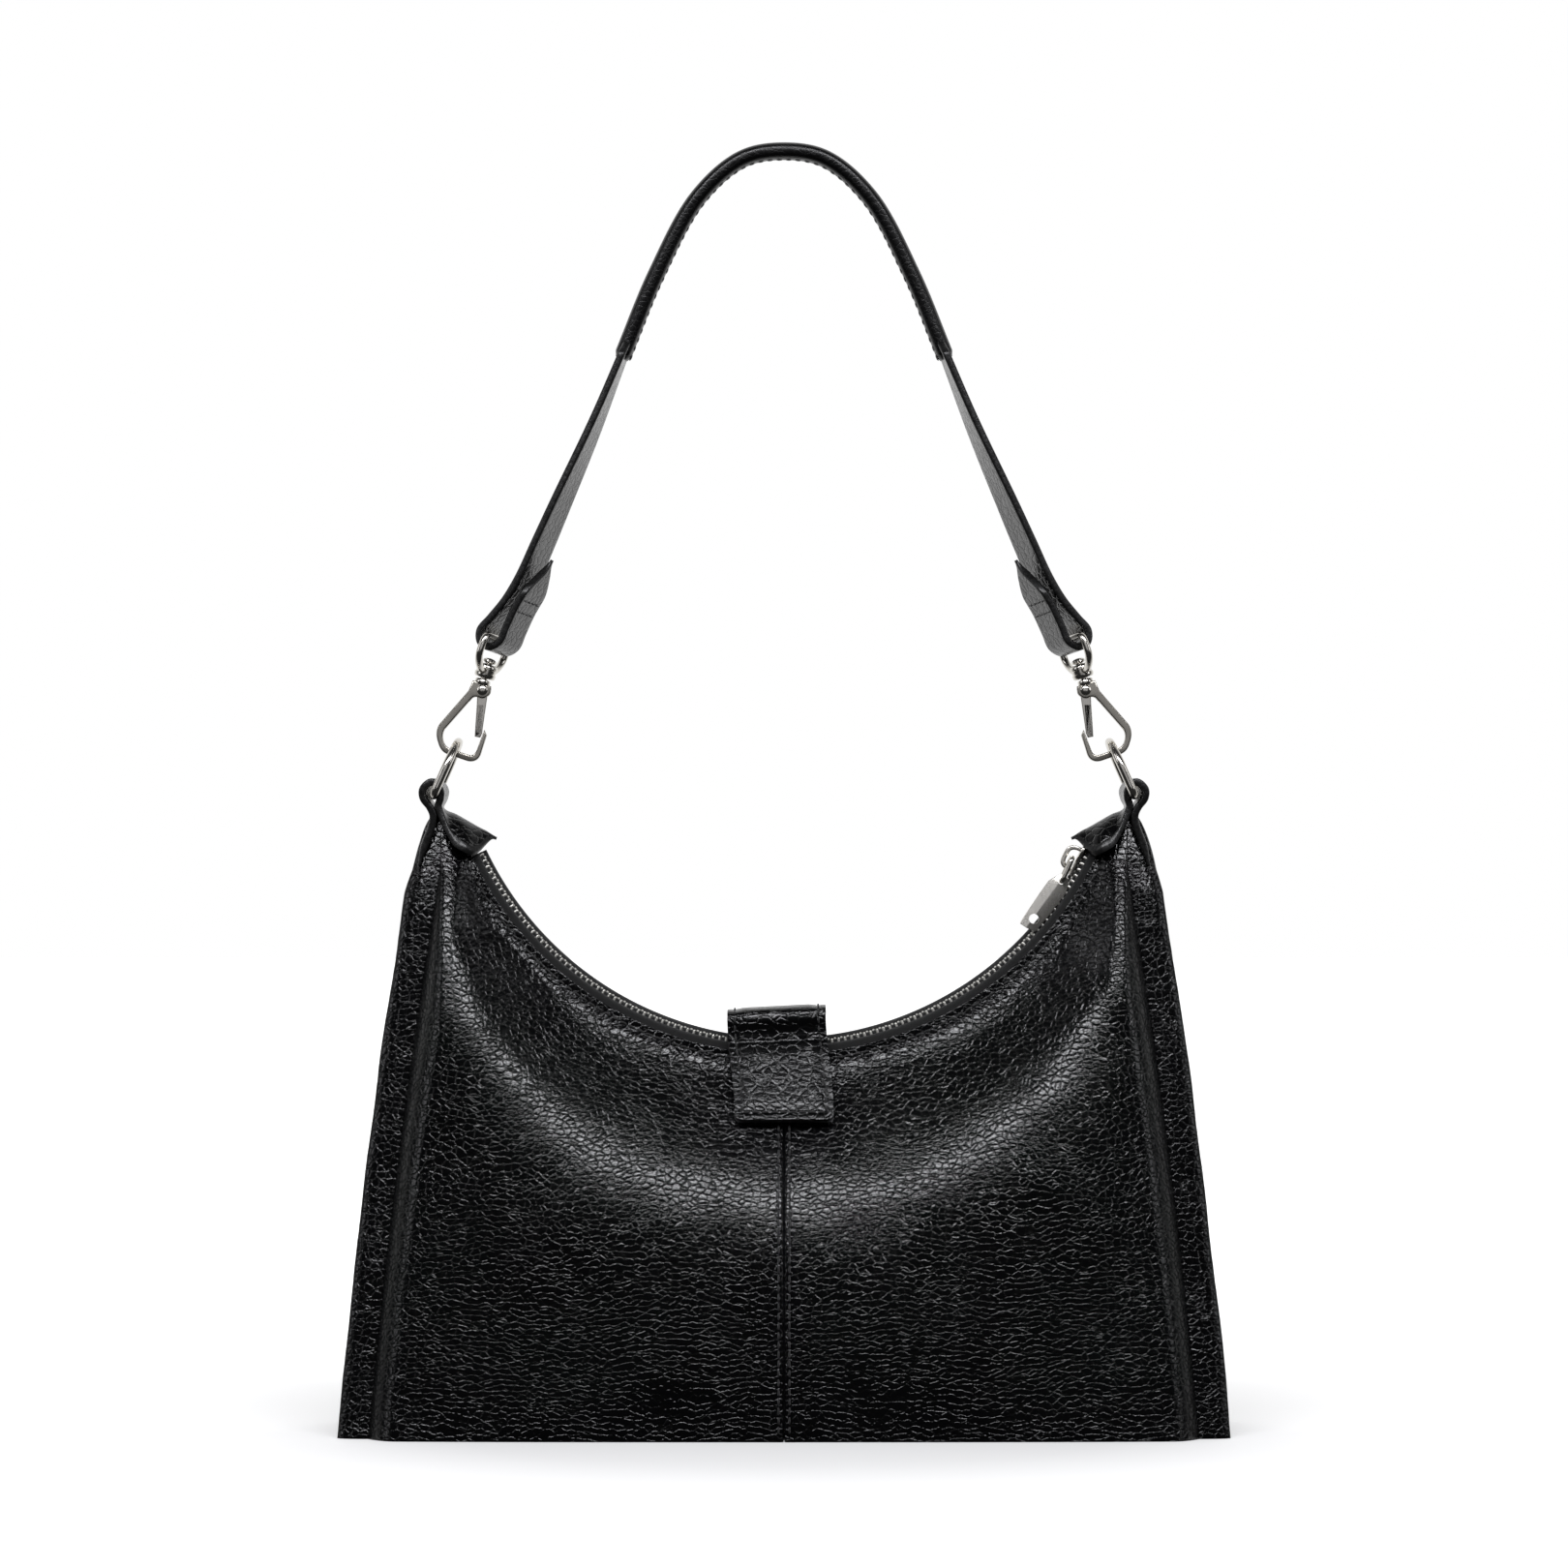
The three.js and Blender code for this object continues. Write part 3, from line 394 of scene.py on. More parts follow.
def round_edges(obj, width, angle):
    """Rounds the edges that are sharper than an angle in degrees."""
    bevel = obj.modifiers.new("edge", "BEVEL")
    bevel.width = width * MM
    bevel.segments = 2
    bevel.limit_method = "ANGLE"
    bevel.angle_limit = math.radians(angle)


def grid_faces(rows, columns, around=False):
    """Quads of a grid of points stored row by row. around joins the last column to the first."""
    faces = []
    for row in range(rows - 1):
        here, above = row * columns, (row + 1) * columns
        for c in range(columns if around else columns - 1):
            d = (c + 1) % columns
            faces.append((here + c, here + d, above + d, above + c))
    return faces


def add_rings(points, faces, rings):
    """Adds a body made of rings, with flat ends, to lists of points and faces."""
    base, size = len(points), len(rings[0])
    points.extend(np.concatenate(rings))
    faces.extend(tuple(base + k for k in f) for f in grid_faces(len(rings), size, around=True))
    for first in (0, (len(rings) - 1) * size):
        faces.append(tuple(base + first + k for k in range(size)))


def loft(name, rings, material, closed=False):
    """A body from rings of points, with flat ends unless the rings close on themselves."""
    points, faces = [], []
    if closed:
        count, size = np.shape(rings)[:2]
        points = np.concatenate(rings)
        faces = [tuple(i % (count * size) for i in f) for f in grid_faces(count + 1, size, around=True)]
    else:
        add_rings(points, faces, rings)
    return face_out(add_mesh(name, points, faces, material))


def leather_sheet(name, grid, thickness, material):
    """A grid of points given thickness inwards, with painted, rounded edges."""
    obj = add_mesh(name, grid.reshape(-1, 3), grid_faces(*grid.shape[:2]), material, EDGE)
    thicken(obj, thickness, rim_material=1)
    round_edges(obj, 0.5, 50)
    return bake_modifiers(obj)


def resample(points, count):
    """count points spaced evenly along a polyline."""
    points = np.asarray(points, float)
    lengths = np.linalg.norm(np.diff(points, axis=0), axis=1)
    at = np.concatenate([[0], np.cumsum(lengths)])
    wanted = np.linspace(0, at[-1], count)
    return np.stack([np.interp(wanted, at, points[:, k]) for k in range(points.shape[1])], axis=1)


def between_knots(a, b, start, end, t):
    """The point at t on the line through a at the knot start and b at the knot end."""
    return (end - t) / (end - start) * a + (t - start) / (end - start) * b


def curve_through(points, count):
    """Evenly spaced points on a centripetal Catmull-Rom curve."""
    p = np.asarray(points, float)
    p = np.concatenate([2 * p[:1] - p[1:2], p, 2 * p[-1:] - p[-2:-1]])
    out = []
    for a, b, c, d in zip(p[:-3], p[1:-2], p[2:-1], p[3:]):
        gaps = [max(1e-6, np.linalg.norm(q - r)) ** 0.5 for q, r in ((b, a), (c, b), (d, c))]
        k0, k1, k2, k3 = np.cumsum([0] + gaps)
        t = np.linspace(k1, k2, CURVE_STEPS, endpoint=False)[:, None]
        a1 = between_knots(a, b, k0, k1, t)
        a2 = between_knots(b, c, k1, k2, t)
        a3 = between_knots(c, d, k2, k3, t)
        b1 = between_knots(a1, a2, k0, k2, t)
        b2 = between_knots(a2, a3, k1, k3, t)
        out.append(between_knots(b1, b2, k1, k2, t))
    out.append(p[-2:-1])
    return resample(np.concatenate(out), count)


def unit(v):
    return v / np.maximum(np.linalg.norm(v, axis=-1, keepdims=True), 1e-9)


def round_rings(centres, across, other, radii, sides):
    """Rings of points round centres. radii is one number, or one for each centre."""
    angle = np.linspace(0, 2 * math.pi, sides, endpoint=False)
    radii = np.broadcast_to(np.asarray(radii, float), (len(centres),))[:, None, None]
    return centres[:, None] + radii * (
        across[:, None] * np.cos(angle)[None, :, None] + other[:, None] * np.sin(angle)[None, :, None]
    )


def tube(name, path, radius, material, sides=18, closed=False, side=(1, 0, 0)):
    """A round wire along a path. side is a direction that the path never follows."""
    if closed:
        along = unit(np.roll(path, -1, axis=0) - np.roll(path, 1, axis=0))
    else:
        along = unit(np.gradient(path, axis=0))
    across = unit(np.asarray(side, float) - along * (along @ np.asarray(side, float))[:, None])
    return loft(name, round_rings(path, across, np.cross(along, across), radius, sides), material, closed)


def joined(name, objs):
    """One object from several, keeping their materials."""
    for o in bpy.context.selected_objects:
        o.select_set(False)
    for o in objs:
        o.select_set(True)
    bpy.context.view_layer.objects.active = objs[0]
    bpy.ops.object.join()
    objs[0].name = name
    objs[0].data.name = name
    return objs[0]


def stitch_row(line, normals, pitch=STITCH_PITCH, length=STITCH_LENGTH, radius=THREAD):
    """Points and faces of a row of stitches along a line on a surface: short arched thread lengths."""
    total = np.linalg.norm(np.diff(line, axis=0), axis=1).sum()
    count = max(1, int(total / pitch))
    both = resample(np.concatenate([line, normals], axis=1), count * STITCH_STEPS + 1)
    share = np.linspace(-0.5, 0.5, len(STITCH_ARCH)) * length / pitch * STITCH_STEPS
    points, faces = [], []
    for i in range(count):
        k = np.clip((i + 0.5) * STITCH_STEPS + share, 0, len(both) - 1)
        low = np.floor(k).astype(int)
        high = np.minimum(low + 1, len(both) - 1)
        here = lerp(both[low], both[high], (k - low)[:, None])
        normal = unit(here[:, 3:])
        centre = here[:, :3] + normal * (STITCH_ARCH * radius)[:, None]
        across = np.cross(unit(np.gradient(centre, axis=0)), normal)
        add_rings(points, faces, round_rings(centre, across, normal, STITCH_TAPER * radius, THREAD_SIDES))
    return points, faces


def stitches(name, rows, **settings):
    """One thread object from rows of (line, normals)."""
    points, faces = [], []
    for line, normals in rows:
        p, f = stitch_row(line, normals, **settings)
        base = len(points)
        points.extend(p)
        faces.extend(tuple(base + i for i in face) for face in f)
    return face_out(add_mesh(name, points, faces, SEWING))


def settle(obj, body, slot_name, *nodes):
    """Puts a finished piece on its body; given CAD nodes, names it after the first and hides them. slot_name
    is not used.
    """
    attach(obj, body)
    if nodes:
        obj.name = nodes[0] + "_fine"
        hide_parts(*nodes)
    return obj


# ---------- body leather ----------

ARC_SHARE = 0.9  # share of a half panel's top edge that follows the zip
WING_SHARE = 0.45  # share of the gusset's width taken by each of its two wings
WING_AT_TOP = 1.7  # how far the gusset stands outside the seam at its top
WING_CORNER = 3.0  # how far a wing turns in towards the gusset's flat middle
GUSSET_INSET = 0.2
SEAM_OVERLAP = 0.4  # how far the gusset reaches in behind the panel's edge
SEAM_STITCH_X = 1.9  # the topstitching beside the centre seam
LINING_REACH = 0.955  # how far the lining goes towards the side seams
LINING_LEVELS = (0.03, 0.94)  # from its foot to its hem, as shares of the panel's height
LINING_WALLS = (5.1, 5.9)  # its two faces, measured in from the panel's face
LINING_FOOT_Z = 7.0
BASE_SECTION = (  # (inset, height) round the sole's rim
    (9, 0.5), (3, 0.35), (0.9, 0), (0.3, 0.3), (0, 0.9), (0, 1.7), (0.5, 2.2), (1.4, 2.4), (9, 2.4),
)
PANELS = (  # (side in x, side in y, name, seed); 1, 1 is the right half of the rear
    (1, 1, "rear_panel_right", 1),
    (-1, 1, "rear_panel_left", 2),
    (1, -1, "front_panel_right", 3),
    (-1, -1, "front_panel_left", 4),
)


def seam_x(z):
    """Half the bag's width at its side seam."""
    h = np.minimum(z, UPRIGHT_Z)
    return BASE_HALF_WIDTH - SIDE_SLOPE * h - SIDE_CURVE * h * h


def mouth_point(u):
    """Top edge of a half panel: the zip's arc, then a short run to the corner."""
    angle = np.minimum(u / ARC_SHARE, 1) * ZIP_END
    t = np.clip((u - ARC_SHARE) / (1 - ARC_SHARE), 0, 1)
    x = lerp(MOUTH_RADIUS * np.sin(angle), seam_x(CORNER_Z), t)
    z = lerp(ZIP_CENTRE_Z - MOUTH_RADIUS * np.cos(angle), CORNER_Z, t)
    return x, z


def below_mouth(x, z):
    """Distance from a point of a panel up to the arc of the mouth."""
    return np.maximum(np.hypot(x, z - ZIP_CENTRE_Z) - MOUTH_RADIUS, 0)


def half_depth(x, z, across, up):
    """Half the bag's thickness: it swells below the mouth, then goes down nearly upright."""
    fade = np.sqrt(1 - SIDE_FADE * across ** 2.4)
    rise = RIDGE_RISE * fade
    top = lerp(MOUTH_DEPTH, CORNER_DEPTH, across ** 3)
    base = lerp(BASE_DEPTH, SIDE_BASE_DEPTH, across ** 3)
    swell = rise * (1 - np.exp(-((below_mouth(x, z) / (RIDGE_REACH * fade)) ** RIDGE_SHARPNESS)))
    return top + swell + (base - top - rise) * (1 - up)


def seam_step(up):
    """How far a panel's face turns in at its side seam."""
    return lerp(EDGE_ROLL, EDGE_ROLL / 2, up)


def panel_point(u, v):
    """Outer face of the right half of the rear panel, across from the centre seam (u) and up (v)."""
    top_x, top_z = mouth_point(u)
    z = v * top_z
    across = lerp(u, top_x / seam_x(top_z), v)
    x = CENTRE_GAP + across * (seam_x(z) - CENTRE_GAP)
    roll = np.maximum(0, (across - 1 + ROLL_SHARE) / ROLL_SHARE)
    y = -half_depth(x, z, across, v) + seam_step(v) * roll ** 2
    return np.stack([x, y, z], axis=-1)


def normals_of(grid):
    """Unit normals of a grid of points: the cross product of its directions along a row and up a column."""
    along_u = np.gradient(grid, axis=1)
    along_v = np.gradient(grid, axis=0)
    return unit(np.cross(along_u, along_v))


def undulation(points, scale, seed):
    """Gentle unevenness of stuffed leather, -1 to 1, without short waves. scale is in millimetres."""
    shift = Vector((seed * 17.3, seed * 5.1, seed * 9.7))
    flat = points.reshape(-1, 3)
    values = [noise.noise(Vector(p) / scale + shift) for p in flat]
    return np.array(values).reshape(points.shape[:-1])


def bell(distance, width):
    """A bump of height 1 about distance 0."""
    return np.exp(-((distance / width) ** 2))


def squared_circle(angle, power):
    """A unit circle with flattened sides, the flatter the lower the power."""
    x, y = np.cos(angle), np.sin(angle)
    return np.sign(x) * np.abs(x) ** power, np.sign(y) * np.abs(y) ** power


def panel_grid(seed, columns=170, rows=130):
    """The panel's face with its sewn relief: centre seam, stitched mouth edge and soft folds."""
    u = np.linspace(0, 1, columns) ** 1.15
    v = np.linspace(0, 1, rows)
    u, v = np.meshgrid(u, v)
    grid = panel_point(u, v)
    x, z = grid[..., 0], grid[..., 2]
    out = normals_of(grid)
    _, top_z = mouth_point(u)
    drop = below_mouth(x, z)
    # Turned-in leather makes a ridge beside the centre seam's groove, and one above the mouth's stitches.
    centre_seam = 0.3 * bell(x - 3.0, 1.4) - 0.5 * bell(x, 0.5)
    edge_fold = 0.45 * smooth((5.0 - drop) / 2.0) - 0.35 * bell(drop - STITCH_INSET, 0.6)
    arc_part = smooth((ARC_SHARE - u) / 0.03)
    # The waves die out towards the seams, the base and the mouth, where the leather is held.
    free = smooth(x / 14) * smooth(z / 16) * smooth((top_z - z) / 18) * smooth((seam_x(z) - x) / 12)
    waves = 0.9 * undulation(grid, 55, seed) + 0.4 * undulation(grid, 20, seed + 3)
    # Steep folds run down from the ring tab.
    corner_folds = 0.5 * undulation(grid * np.array([1, 1, 0.35]), 9, seed + 5)
    near_corner = smooth((x - 70) / 30) * smooth((z - 120) / 50)
    lift = centre_seam + edge_fold * arc_part + free * (waves + near_corner * corner_folds)
    return grid + out * lift[..., None]


def mirrored(points, x=1, y=1):
    """Points mirrored in x or y where the sign given is -1."""
    return points * np.array([x, y, 1])


def bag_sheet(name, grid, side_x, side_y=1):
    """A leather sheet of the bag, mirrored from the right or rear one, with its face kept outside."""
    grid = mirrored(grid, side_x, side_y)
    if side_x * side_y < 0:
        grid = grid[:, ::-1]
    return settle(leather_sheet(name, grid, LEATHER, BODY_LEATHER), "bag", "body_leather", name)


def gusset_grid(seed, columns=110, rows=170):
    """Outer face of the right gusset from the rear seam to the front seam, gathered along both seams."""
    u, v = np.meshgrid(np.linspace(0, 1, columns), np.linspace(0, 1, rows))
    z = v * CORNER_Z
    half = half_depth(seam_x(z), z, np.ones_like(v), v) - seam_step(v) - GUSSET_INSET
    shoulder = np.maximum(0, (z - SHOULDER_Z) / (CORNER_Z - SHOULDER_Z))
    reach = WING_AT_TOP + WING * np.sqrt(1 - np.minimum(0.97, shoulder ** 1.15))
    corner = np.minimum(WING_CORNER, half / 2)
    side = np.where(u < 0.5, -1, 1)
    share = np.abs(u - 0.5) * 2
    in_wing = share > 1 - WING_SHARE
    x0 = seam_x(z) - SEAM_OVERLAP
    t = np.clip((1 - share) / WING_SHARE, 0, 1)
    x = np.where(in_wing, lerp(x0, x0 + reach, 1 - (1 - t) ** 1.5), x0 + reach)
    y_wing = side * (half - corner * t * t)
    y_flat = side * (half - corner) * share / (1 - WING_SHARE)
    grid = np.stack([x, np.where(in_wing, y_wing, y_flat), z], axis=-1)
    out = normals_of(grid)
    wing = smooth((share - 0.4) / 0.3)
    gathers = undulation(grid * np.array([0.25, 0.25, 1]), 3.4, seed) * 0.14 * wing
    slack = undulation(grid, 28, seed + 2) * 1.1 * (1 - wing) * smooth(z / 12)
    return grid + out * (gathers + slack)[..., None]


def base_outline(inset):
    """Base outline with rounded corners, as a ring of points."""
    quarter = [
        (BASE_HALF_WIDTH + WING - 3, SIDE_BASE_DEPTH - 12),
        (BASE_HALF_WIDTH - 2, SIDE_BASE_DEPTH - 11.8),
        (BASE_HALF_WIDTH - 4.5, SIDE_BASE_DEPTH - 8),
        (BASE_HALF_WIDTH - 10, SIDE_BASE_DEPTH - 3.6),
        (BASE_HALF_WIDTH - 18, SIDE_BASE_DEPTH - 2.2),
    ]
    corner = resample([(x - inset, y - inset) for x, y in quarter], 24)
    back = corner[::-1]
    signs = ((corner, 1, 1), (back, -1, 1), (corner, -1, -1), (back, 1, -1))
    return np.concatenate([c * np.array([sx, sy]) for c, sx, sy in signs])


def base_panel():
    """The sole: a leather slab with a rounded, slightly raised rim."""
    rings = []
    for inset, z in BASE_SECTION:
        outline = base_outline(inset)
        rings.append(np.column_stack([outline, np.full(len(outline), z)]))
    obj = loft("base_panel", rings, BODY_LEATHER)
    return settle(obj, "bag", "body_leather", "base_panel")


def lining():
    """One thin cloth bag inside the panels, open along the zip, with soft vertical folds."""
    u = np.concatenate([-np.linspace(LINING_REACH, 0, 60), np.linspace(0, LINING_REACH, 60)[1:]])
    rise = np.linspace(*LINING_LEVELS, 40)
    near, far = LINING_WALLS
    rings = []
    for v, inset in [(v, near) for v in rise] + [(v, far) for v in rise[::-1]]:
        face = panel_point(np.abs(u), np.full_like(u, v))
        face[:, 0] *= np.sign(u)
        folds = 0.5 * np.sin(face[:, 0] / 9.0) * math.sin(math.pi * v)
        face[:, 1] += inset + folds
        face[:, 2] = np.maximum(face[:, 2], LINING_FOOT_Z)
        rings.append(np.concatenate([face, mirrored(face[::-1], 1, -1)]))
    ends = [rings[k].mean(axis=0) + (rings[k] - rings[k].mean(axis=0)) * 0.5 for k in (0, -1)]
    obj = loft("lining", [ends[0], *rings, ends[1]], LINING)
    return settle(obj, "bag", "lining_cloth", "lining")


def mouth_line():
    """The line of the topstitching below the mouth's arc on the right rear panel."""
    angle = np.linspace(0.012, ZIP_END * 0.985, 260)
    r = MOUTH_RADIUS + STITCH_INSET
    return np.column_stack([r * np.sin(angle), ZIP_CENTRE_Z - r * np.cos(angle)])


class Face:
    """A grid of points with its outward normals, on which stitches are laid."""

    def __init__(self, grid):
        self.points = grid.reshape(-1, 3)
        self.normals = normals_of(grid).reshape(-1, 3)

    def under(self, line, lift=0.1):
        """Points of the face at (x, z) positions, lifted off it, and the normals there."""
        points, normals = [], []
        for x, z in line:
            distance = np.hypot(self.points[:, 0] - x, self.points[:, 2] - z)
            near = np.argpartition(distance, 4)[:4]
            weight = 1 / (distance[near] + 0.05)
            weight /= weight.sum()
            normal = unit((self.normals[near] * weight[:, None]).sum(axis=0))
            points.append(np.array([x, (self.points[near, 1] * weight).sum(), z]) + normal * lift)
            normals.append(normal)
        return np.array(points), np.array(normals)


def panel_seams(name, face, side_x, side_y):
    """The topstitching of one half panel: along the mouth and beside the centre seam."""
    heights = np.linspace(2.5, MOUTH_LOWEST_Z - 1.5, 120)
    beside_seam = np.column_stack([np.full(len(heights), SEAM_STITCH_X), heights])
    rows = []
    for line in (mouth_line(), beside_seam):
        points, normals = face.under(line)
        rows.append((mirrored(points, side_x, side_y), mirrored(normals, side_x, side_y)))
    return settle(stitches(name, rows), "bag", "body_leather")


def make_body():
    """The panels with their topstitching, the gussets, the sole and the lining."""
    for side_x, side_y, name, seed in PANELS:
        grid = panel_grid(seed)
        bag_sheet(name, grid, side_x, side_y)
        panel_seams("stitches_" + name, Face(grid), side_x, side_y)
    bag_sheet("side_gusset_right", gusset_grid(11), 1)
    bag_sheet("side_gusset_left", gusset_grid(12), -1)
    base_panel()
    lining()


# ---------- leather strips: tabs, strap and handle ----------

EDGE_RADIUS = 0.8
FACE_STEPS = 10
CORNER_STEPS = 5


def rounded_section(half_width, half_thick):
    """A flat rounded rectangle as (across, out) points: upper face, one edge, lower face, other edge."""
    radius = min(EDGE_RADIUS, half_width * 0.95, half_thick * 0.95)
    flat = half_width - radius
    face = np.linspace(flat, -flat, FACE_STEPS + 1)
    turn = np.radians(np.linspace(90, 270, 2 * CORNER_STEPS + 1))[1:-1]
    side_x = -flat + radius * np.cos(turn)
    side_y = np.sign(np.sin(turn)) * (half_thick - radius) + radius * np.sin(turn)
    upper = np.column_stack([face, np.full(len(face), half_thick)])
    left = np.column_stack([side_x, side_y])
    return np.concatenate([upper, left, -upper, -left])


def paint_edges(obj, rings):
    """Gives the faces on the two narrow edges of a strip, and its ends, the edge paint."""
    obj.data.materials.append(EDGE)
    face_count = FACE_STEPS + 1
    edge_count = 2 * CORNER_STEPS - 1
    size = 2 * (face_count + edge_count)
    on_edge = np.zeros(size, bool)
    on_edge[face_count - 1 : face_count + edge_count] = True
    on_edge[2 * face_count + edge_count - 1 :] = True
    for polygon in obj.data.polygons:
        if polygon.index < (rings - 1) * size:
            polygon.material_index = int(on_edge[polygon.index % size])
        else:
            polygon.material_index = 1
    return obj


def strip(name, centres, out, across, half_width, half_thick, bend=None):
    """A leather strip along centres. out and across are the directions of its section at each point.

    bend(points, share) may move the finished points of each ring."""
    rings = []
    for i, centre in enumerate(centres):
        section = rounded_section(half_width[i], half_thick[i])
        ring = centre + section[:, :1] * across[i] + section[:, 1:] * out[i]
        rings.append(ring if bend is None else bend(ring, i / (len(centres) - 1)))
    obj = loft(name, rings, STRAP_LEATHER_LOOK)
    return paint_edges(obj, len(rings))


def flat_path(path, count):
    """Centres, outward directions and across directions of a path given in the x-z plane."""
    line = curve_through(path, count)
    along = unit(np.gradient(line, axis=0))
    zero = np.zeros(count)
    centres = np.column_stack([line[:, 0], zero, line[:, 1]])
    out = np.column_stack([along[:, 1], zero, -along[:, 0]])
    across = np.tile([0.0, 1.0, 0.0], (count, 1))
    return centres, out, across


TAB_HALF_WIDTH = 17.0
TAB_BOTTOM_Z = 110.0
TAB_TOP_Z = 146.3
TAB_SIDE_Y = 10.4  # half depth of the tab over the zip
TAB_HINGE_Z = 137.0  # the tab bends here, at the rear
TAB_BEND = 3.4  # size of its two upper bends
TAB_SLOPE = 0.52  # how far it stands out with each millimetre below the hinge
SNAP_ROOM = 2.4  # room for the snap behind its front end
TAB_CORNER = 2.2
TAB_CREASE_Z = 135.2
TAB_LEAN = 2.6  # how far it is skewed to one side at the top


def tab_face(z):
    """How far the tab's outer face stands from the middle of the bag."""
    return TAB_SIDE_Y + TAB_SLOPE * max(0, TAB_HINGE_Z - z)


def tab_path():
    """The tab's outer face in (y, z), from its rear end over the zip to its front end."""
    rear = [(-tab_face(z), z) for z in (TAB_BOTTOM_Z - 1.2, 115, 120, 125, 130, TAB_HINGE_Z)]
    rise = [
        (-TAB_SIDE_Y, TAB_TOP_Z - TAB_BEND),
        (-TAB_SIDE_Y + TAB_BEND * 0.3, TAB_TOP_Z - TAB_BEND * 0.3),
        (-TAB_SIDE_Y + TAB_BEND, TAB_TOP_Z),
    ]
    down = [(-y, z) for y, z in rise[::-1]]
    front = [(-y + (SNAP_ROOM if z < TAB_HINGE_Z - 1 else SNAP_ROOM * 0.4), z) for y, z in rear[::-1]]
    return rear + rise + [(0, TAB_TOP_Z)] + down + front


def tab_grid(columns=41, rows=220):
    """Outer face of the closure tab: a little skewed, padded inside its stitches, creased at its hinge."""
    line = curve_through(tab_path(), rows)
    along = unit(np.gradient(line, axis=0))
    lengths = np.concatenate([[0], np.cumsum(np.linalg.norm(np.diff(line, axis=0), axis=1))])
    to_end = np.minimum(lengths, lengths[-1] - lengths)
    short = np.maximum(TAB_CORNER - to_end, 0)
    half = TAB_HALF_WIDTH - TAB_CORNER + np.sqrt(np.maximum(TAB_CORNER ** 2 - short ** 2, 0))
    across = np.linspace(-1, 1, columns)[None, :] * half[:, None]
    y = np.repeat(line[:, :1], columns, axis=1)
    z = np.repeat(line[:, 1:], columns, axis=1)
    out = np.stack([np.zeros(rows), -along[:, 1], along[:, 0]], axis=-1)
    grid = np.stack([across, y, z], axis=-1)
    from_edge = half[:, None] - np.abs(across)
    from_edge = np.minimum(from_edge, to_end[:, None])
    padding = 0.35 * smooth((from_edge - 3.2) / 3.0)
    stitch_groove = 0.3 * bell(from_edge - STITCH_INSET, 0.5)
    rear_height = np.where(y < 0, z, 0)
    crease = -0.35 * bell(rear_height - TAB_CREASE_Z, 0.8)
    grid = grid + out[:, None] * (padding - stitch_groove + crease)[..., None]
    lean = smooth((grid[..., 2] - 112) / 32)
    grid[..., 0] -= TAB_LEAN * lean
    grid[..., 2] += 0.05 * grid[..., 0] * lean
    return grid


def closure_tab():
    """The tab and its stitches, sewn to the bag at the rear, with a bend at its hinge."""
    grid = tab_grid()
    tab = leather_sheet("closure_tab", grid, STRAP_LEATHER, STRAP_LEATHER_LOOK)
    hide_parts("closure_tab_anchor", "closure_tab_flap")
    seams = stitches("closure_tab_stitches", tab_stitch_rows(grid), pitch=3.0, length=2.3)
    for obj in (tab, seams):
        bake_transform(obj)


def tab_stitch_rows(grid):
    """Rows along both long sides of the tab and across both of its ends."""
    out = normals_of(grid)
    rows, columns = grid.shape[:2]
    spacing = 2 * TAB_HALF_WIDTH / (columns - 1)
    inset = round(STITCH_INSET / spacing)
    length = np.linalg.norm(np.diff(grid[:, columns // 2], axis=0), axis=1).sum()
    first = round(STITCH_INSET / (length / (rows - 1)))
    lift = 0.12
    lines = []
    for column in (inset, columns - 1 - inset):
        part = slice(first, rows - first)
        lines.append((grid[part, column] + out[part, column] * lift, out[part, column]))
    for row in (first, rows - 1 - first):
        part = slice(inset, columns - inset)
        lines.append((grid[row, part] + out[row, part] * lift, out[row, part]))
    return lines


RING_TAB_HALF_WIDTH = 7.4
LEAF_HALF_WIDTH = 10.8
LEAF_DROOP = 9.5  # how far the leaf's sides hang below its middle
RING_TAB_PATH = [  # (x, z) from the leaf's point, over the ring's bar and down the gusset
    (99.6, 204.8), (105, 207), (110, 209.8), (114.3, 212.2), (117.7, 213.6), (119.4, 215.8),
    (118.4, 218.9), (118.3, 221.6), (121, 224.4), (124.1, 222), (124.2, 218.8), (122.3, 215.8),
    (121.4, 212.8), (122.3, 208.8), (124.1, 204.6), (125.6, 200), (126.4, 195.5),
]


def ring_tab(side, name):
    """A tab that starts as a pointed leaf over the zip's end and loops over the ring's bar."""
    count = 150
    centres, out, across = flat_path(RING_TAB_PATH, count)
    share = np.linspace(0, 1, count)
    leaf = lerp(0.5, LEAF_HALF_WIDTH, smooth(share / 0.2))
    half_width = lerp(leaf, RING_TAB_HALF_WIDTH, smooth((share - 0.2) / 0.16))
    thin_ends = smooth(share / 0.08) * smooth((1 - share) / 0.12)
    half_thick = STRAP_LEATHER / 2 * lerp(0.4, 1, thin_ends)
    droop = LEAF_DROOP * smooth(share / 0.16) * (1 - smooth((share - 0.24) / 0.12))

    def bend(ring, t):
        k = round(t * (count - 1))
        y = ring[:, 1] / half_width[k]
        ring[:, 2] -= droop[k] * y * y
        ring[:, 0] += 0.8 * math.sin(9 * t) * y
        return mirrored(ring, side)

    tab = strip(name, centres, out, across, half_width, half_thick, bend)
    return settle(tab, "bag", "strap_leather", name)


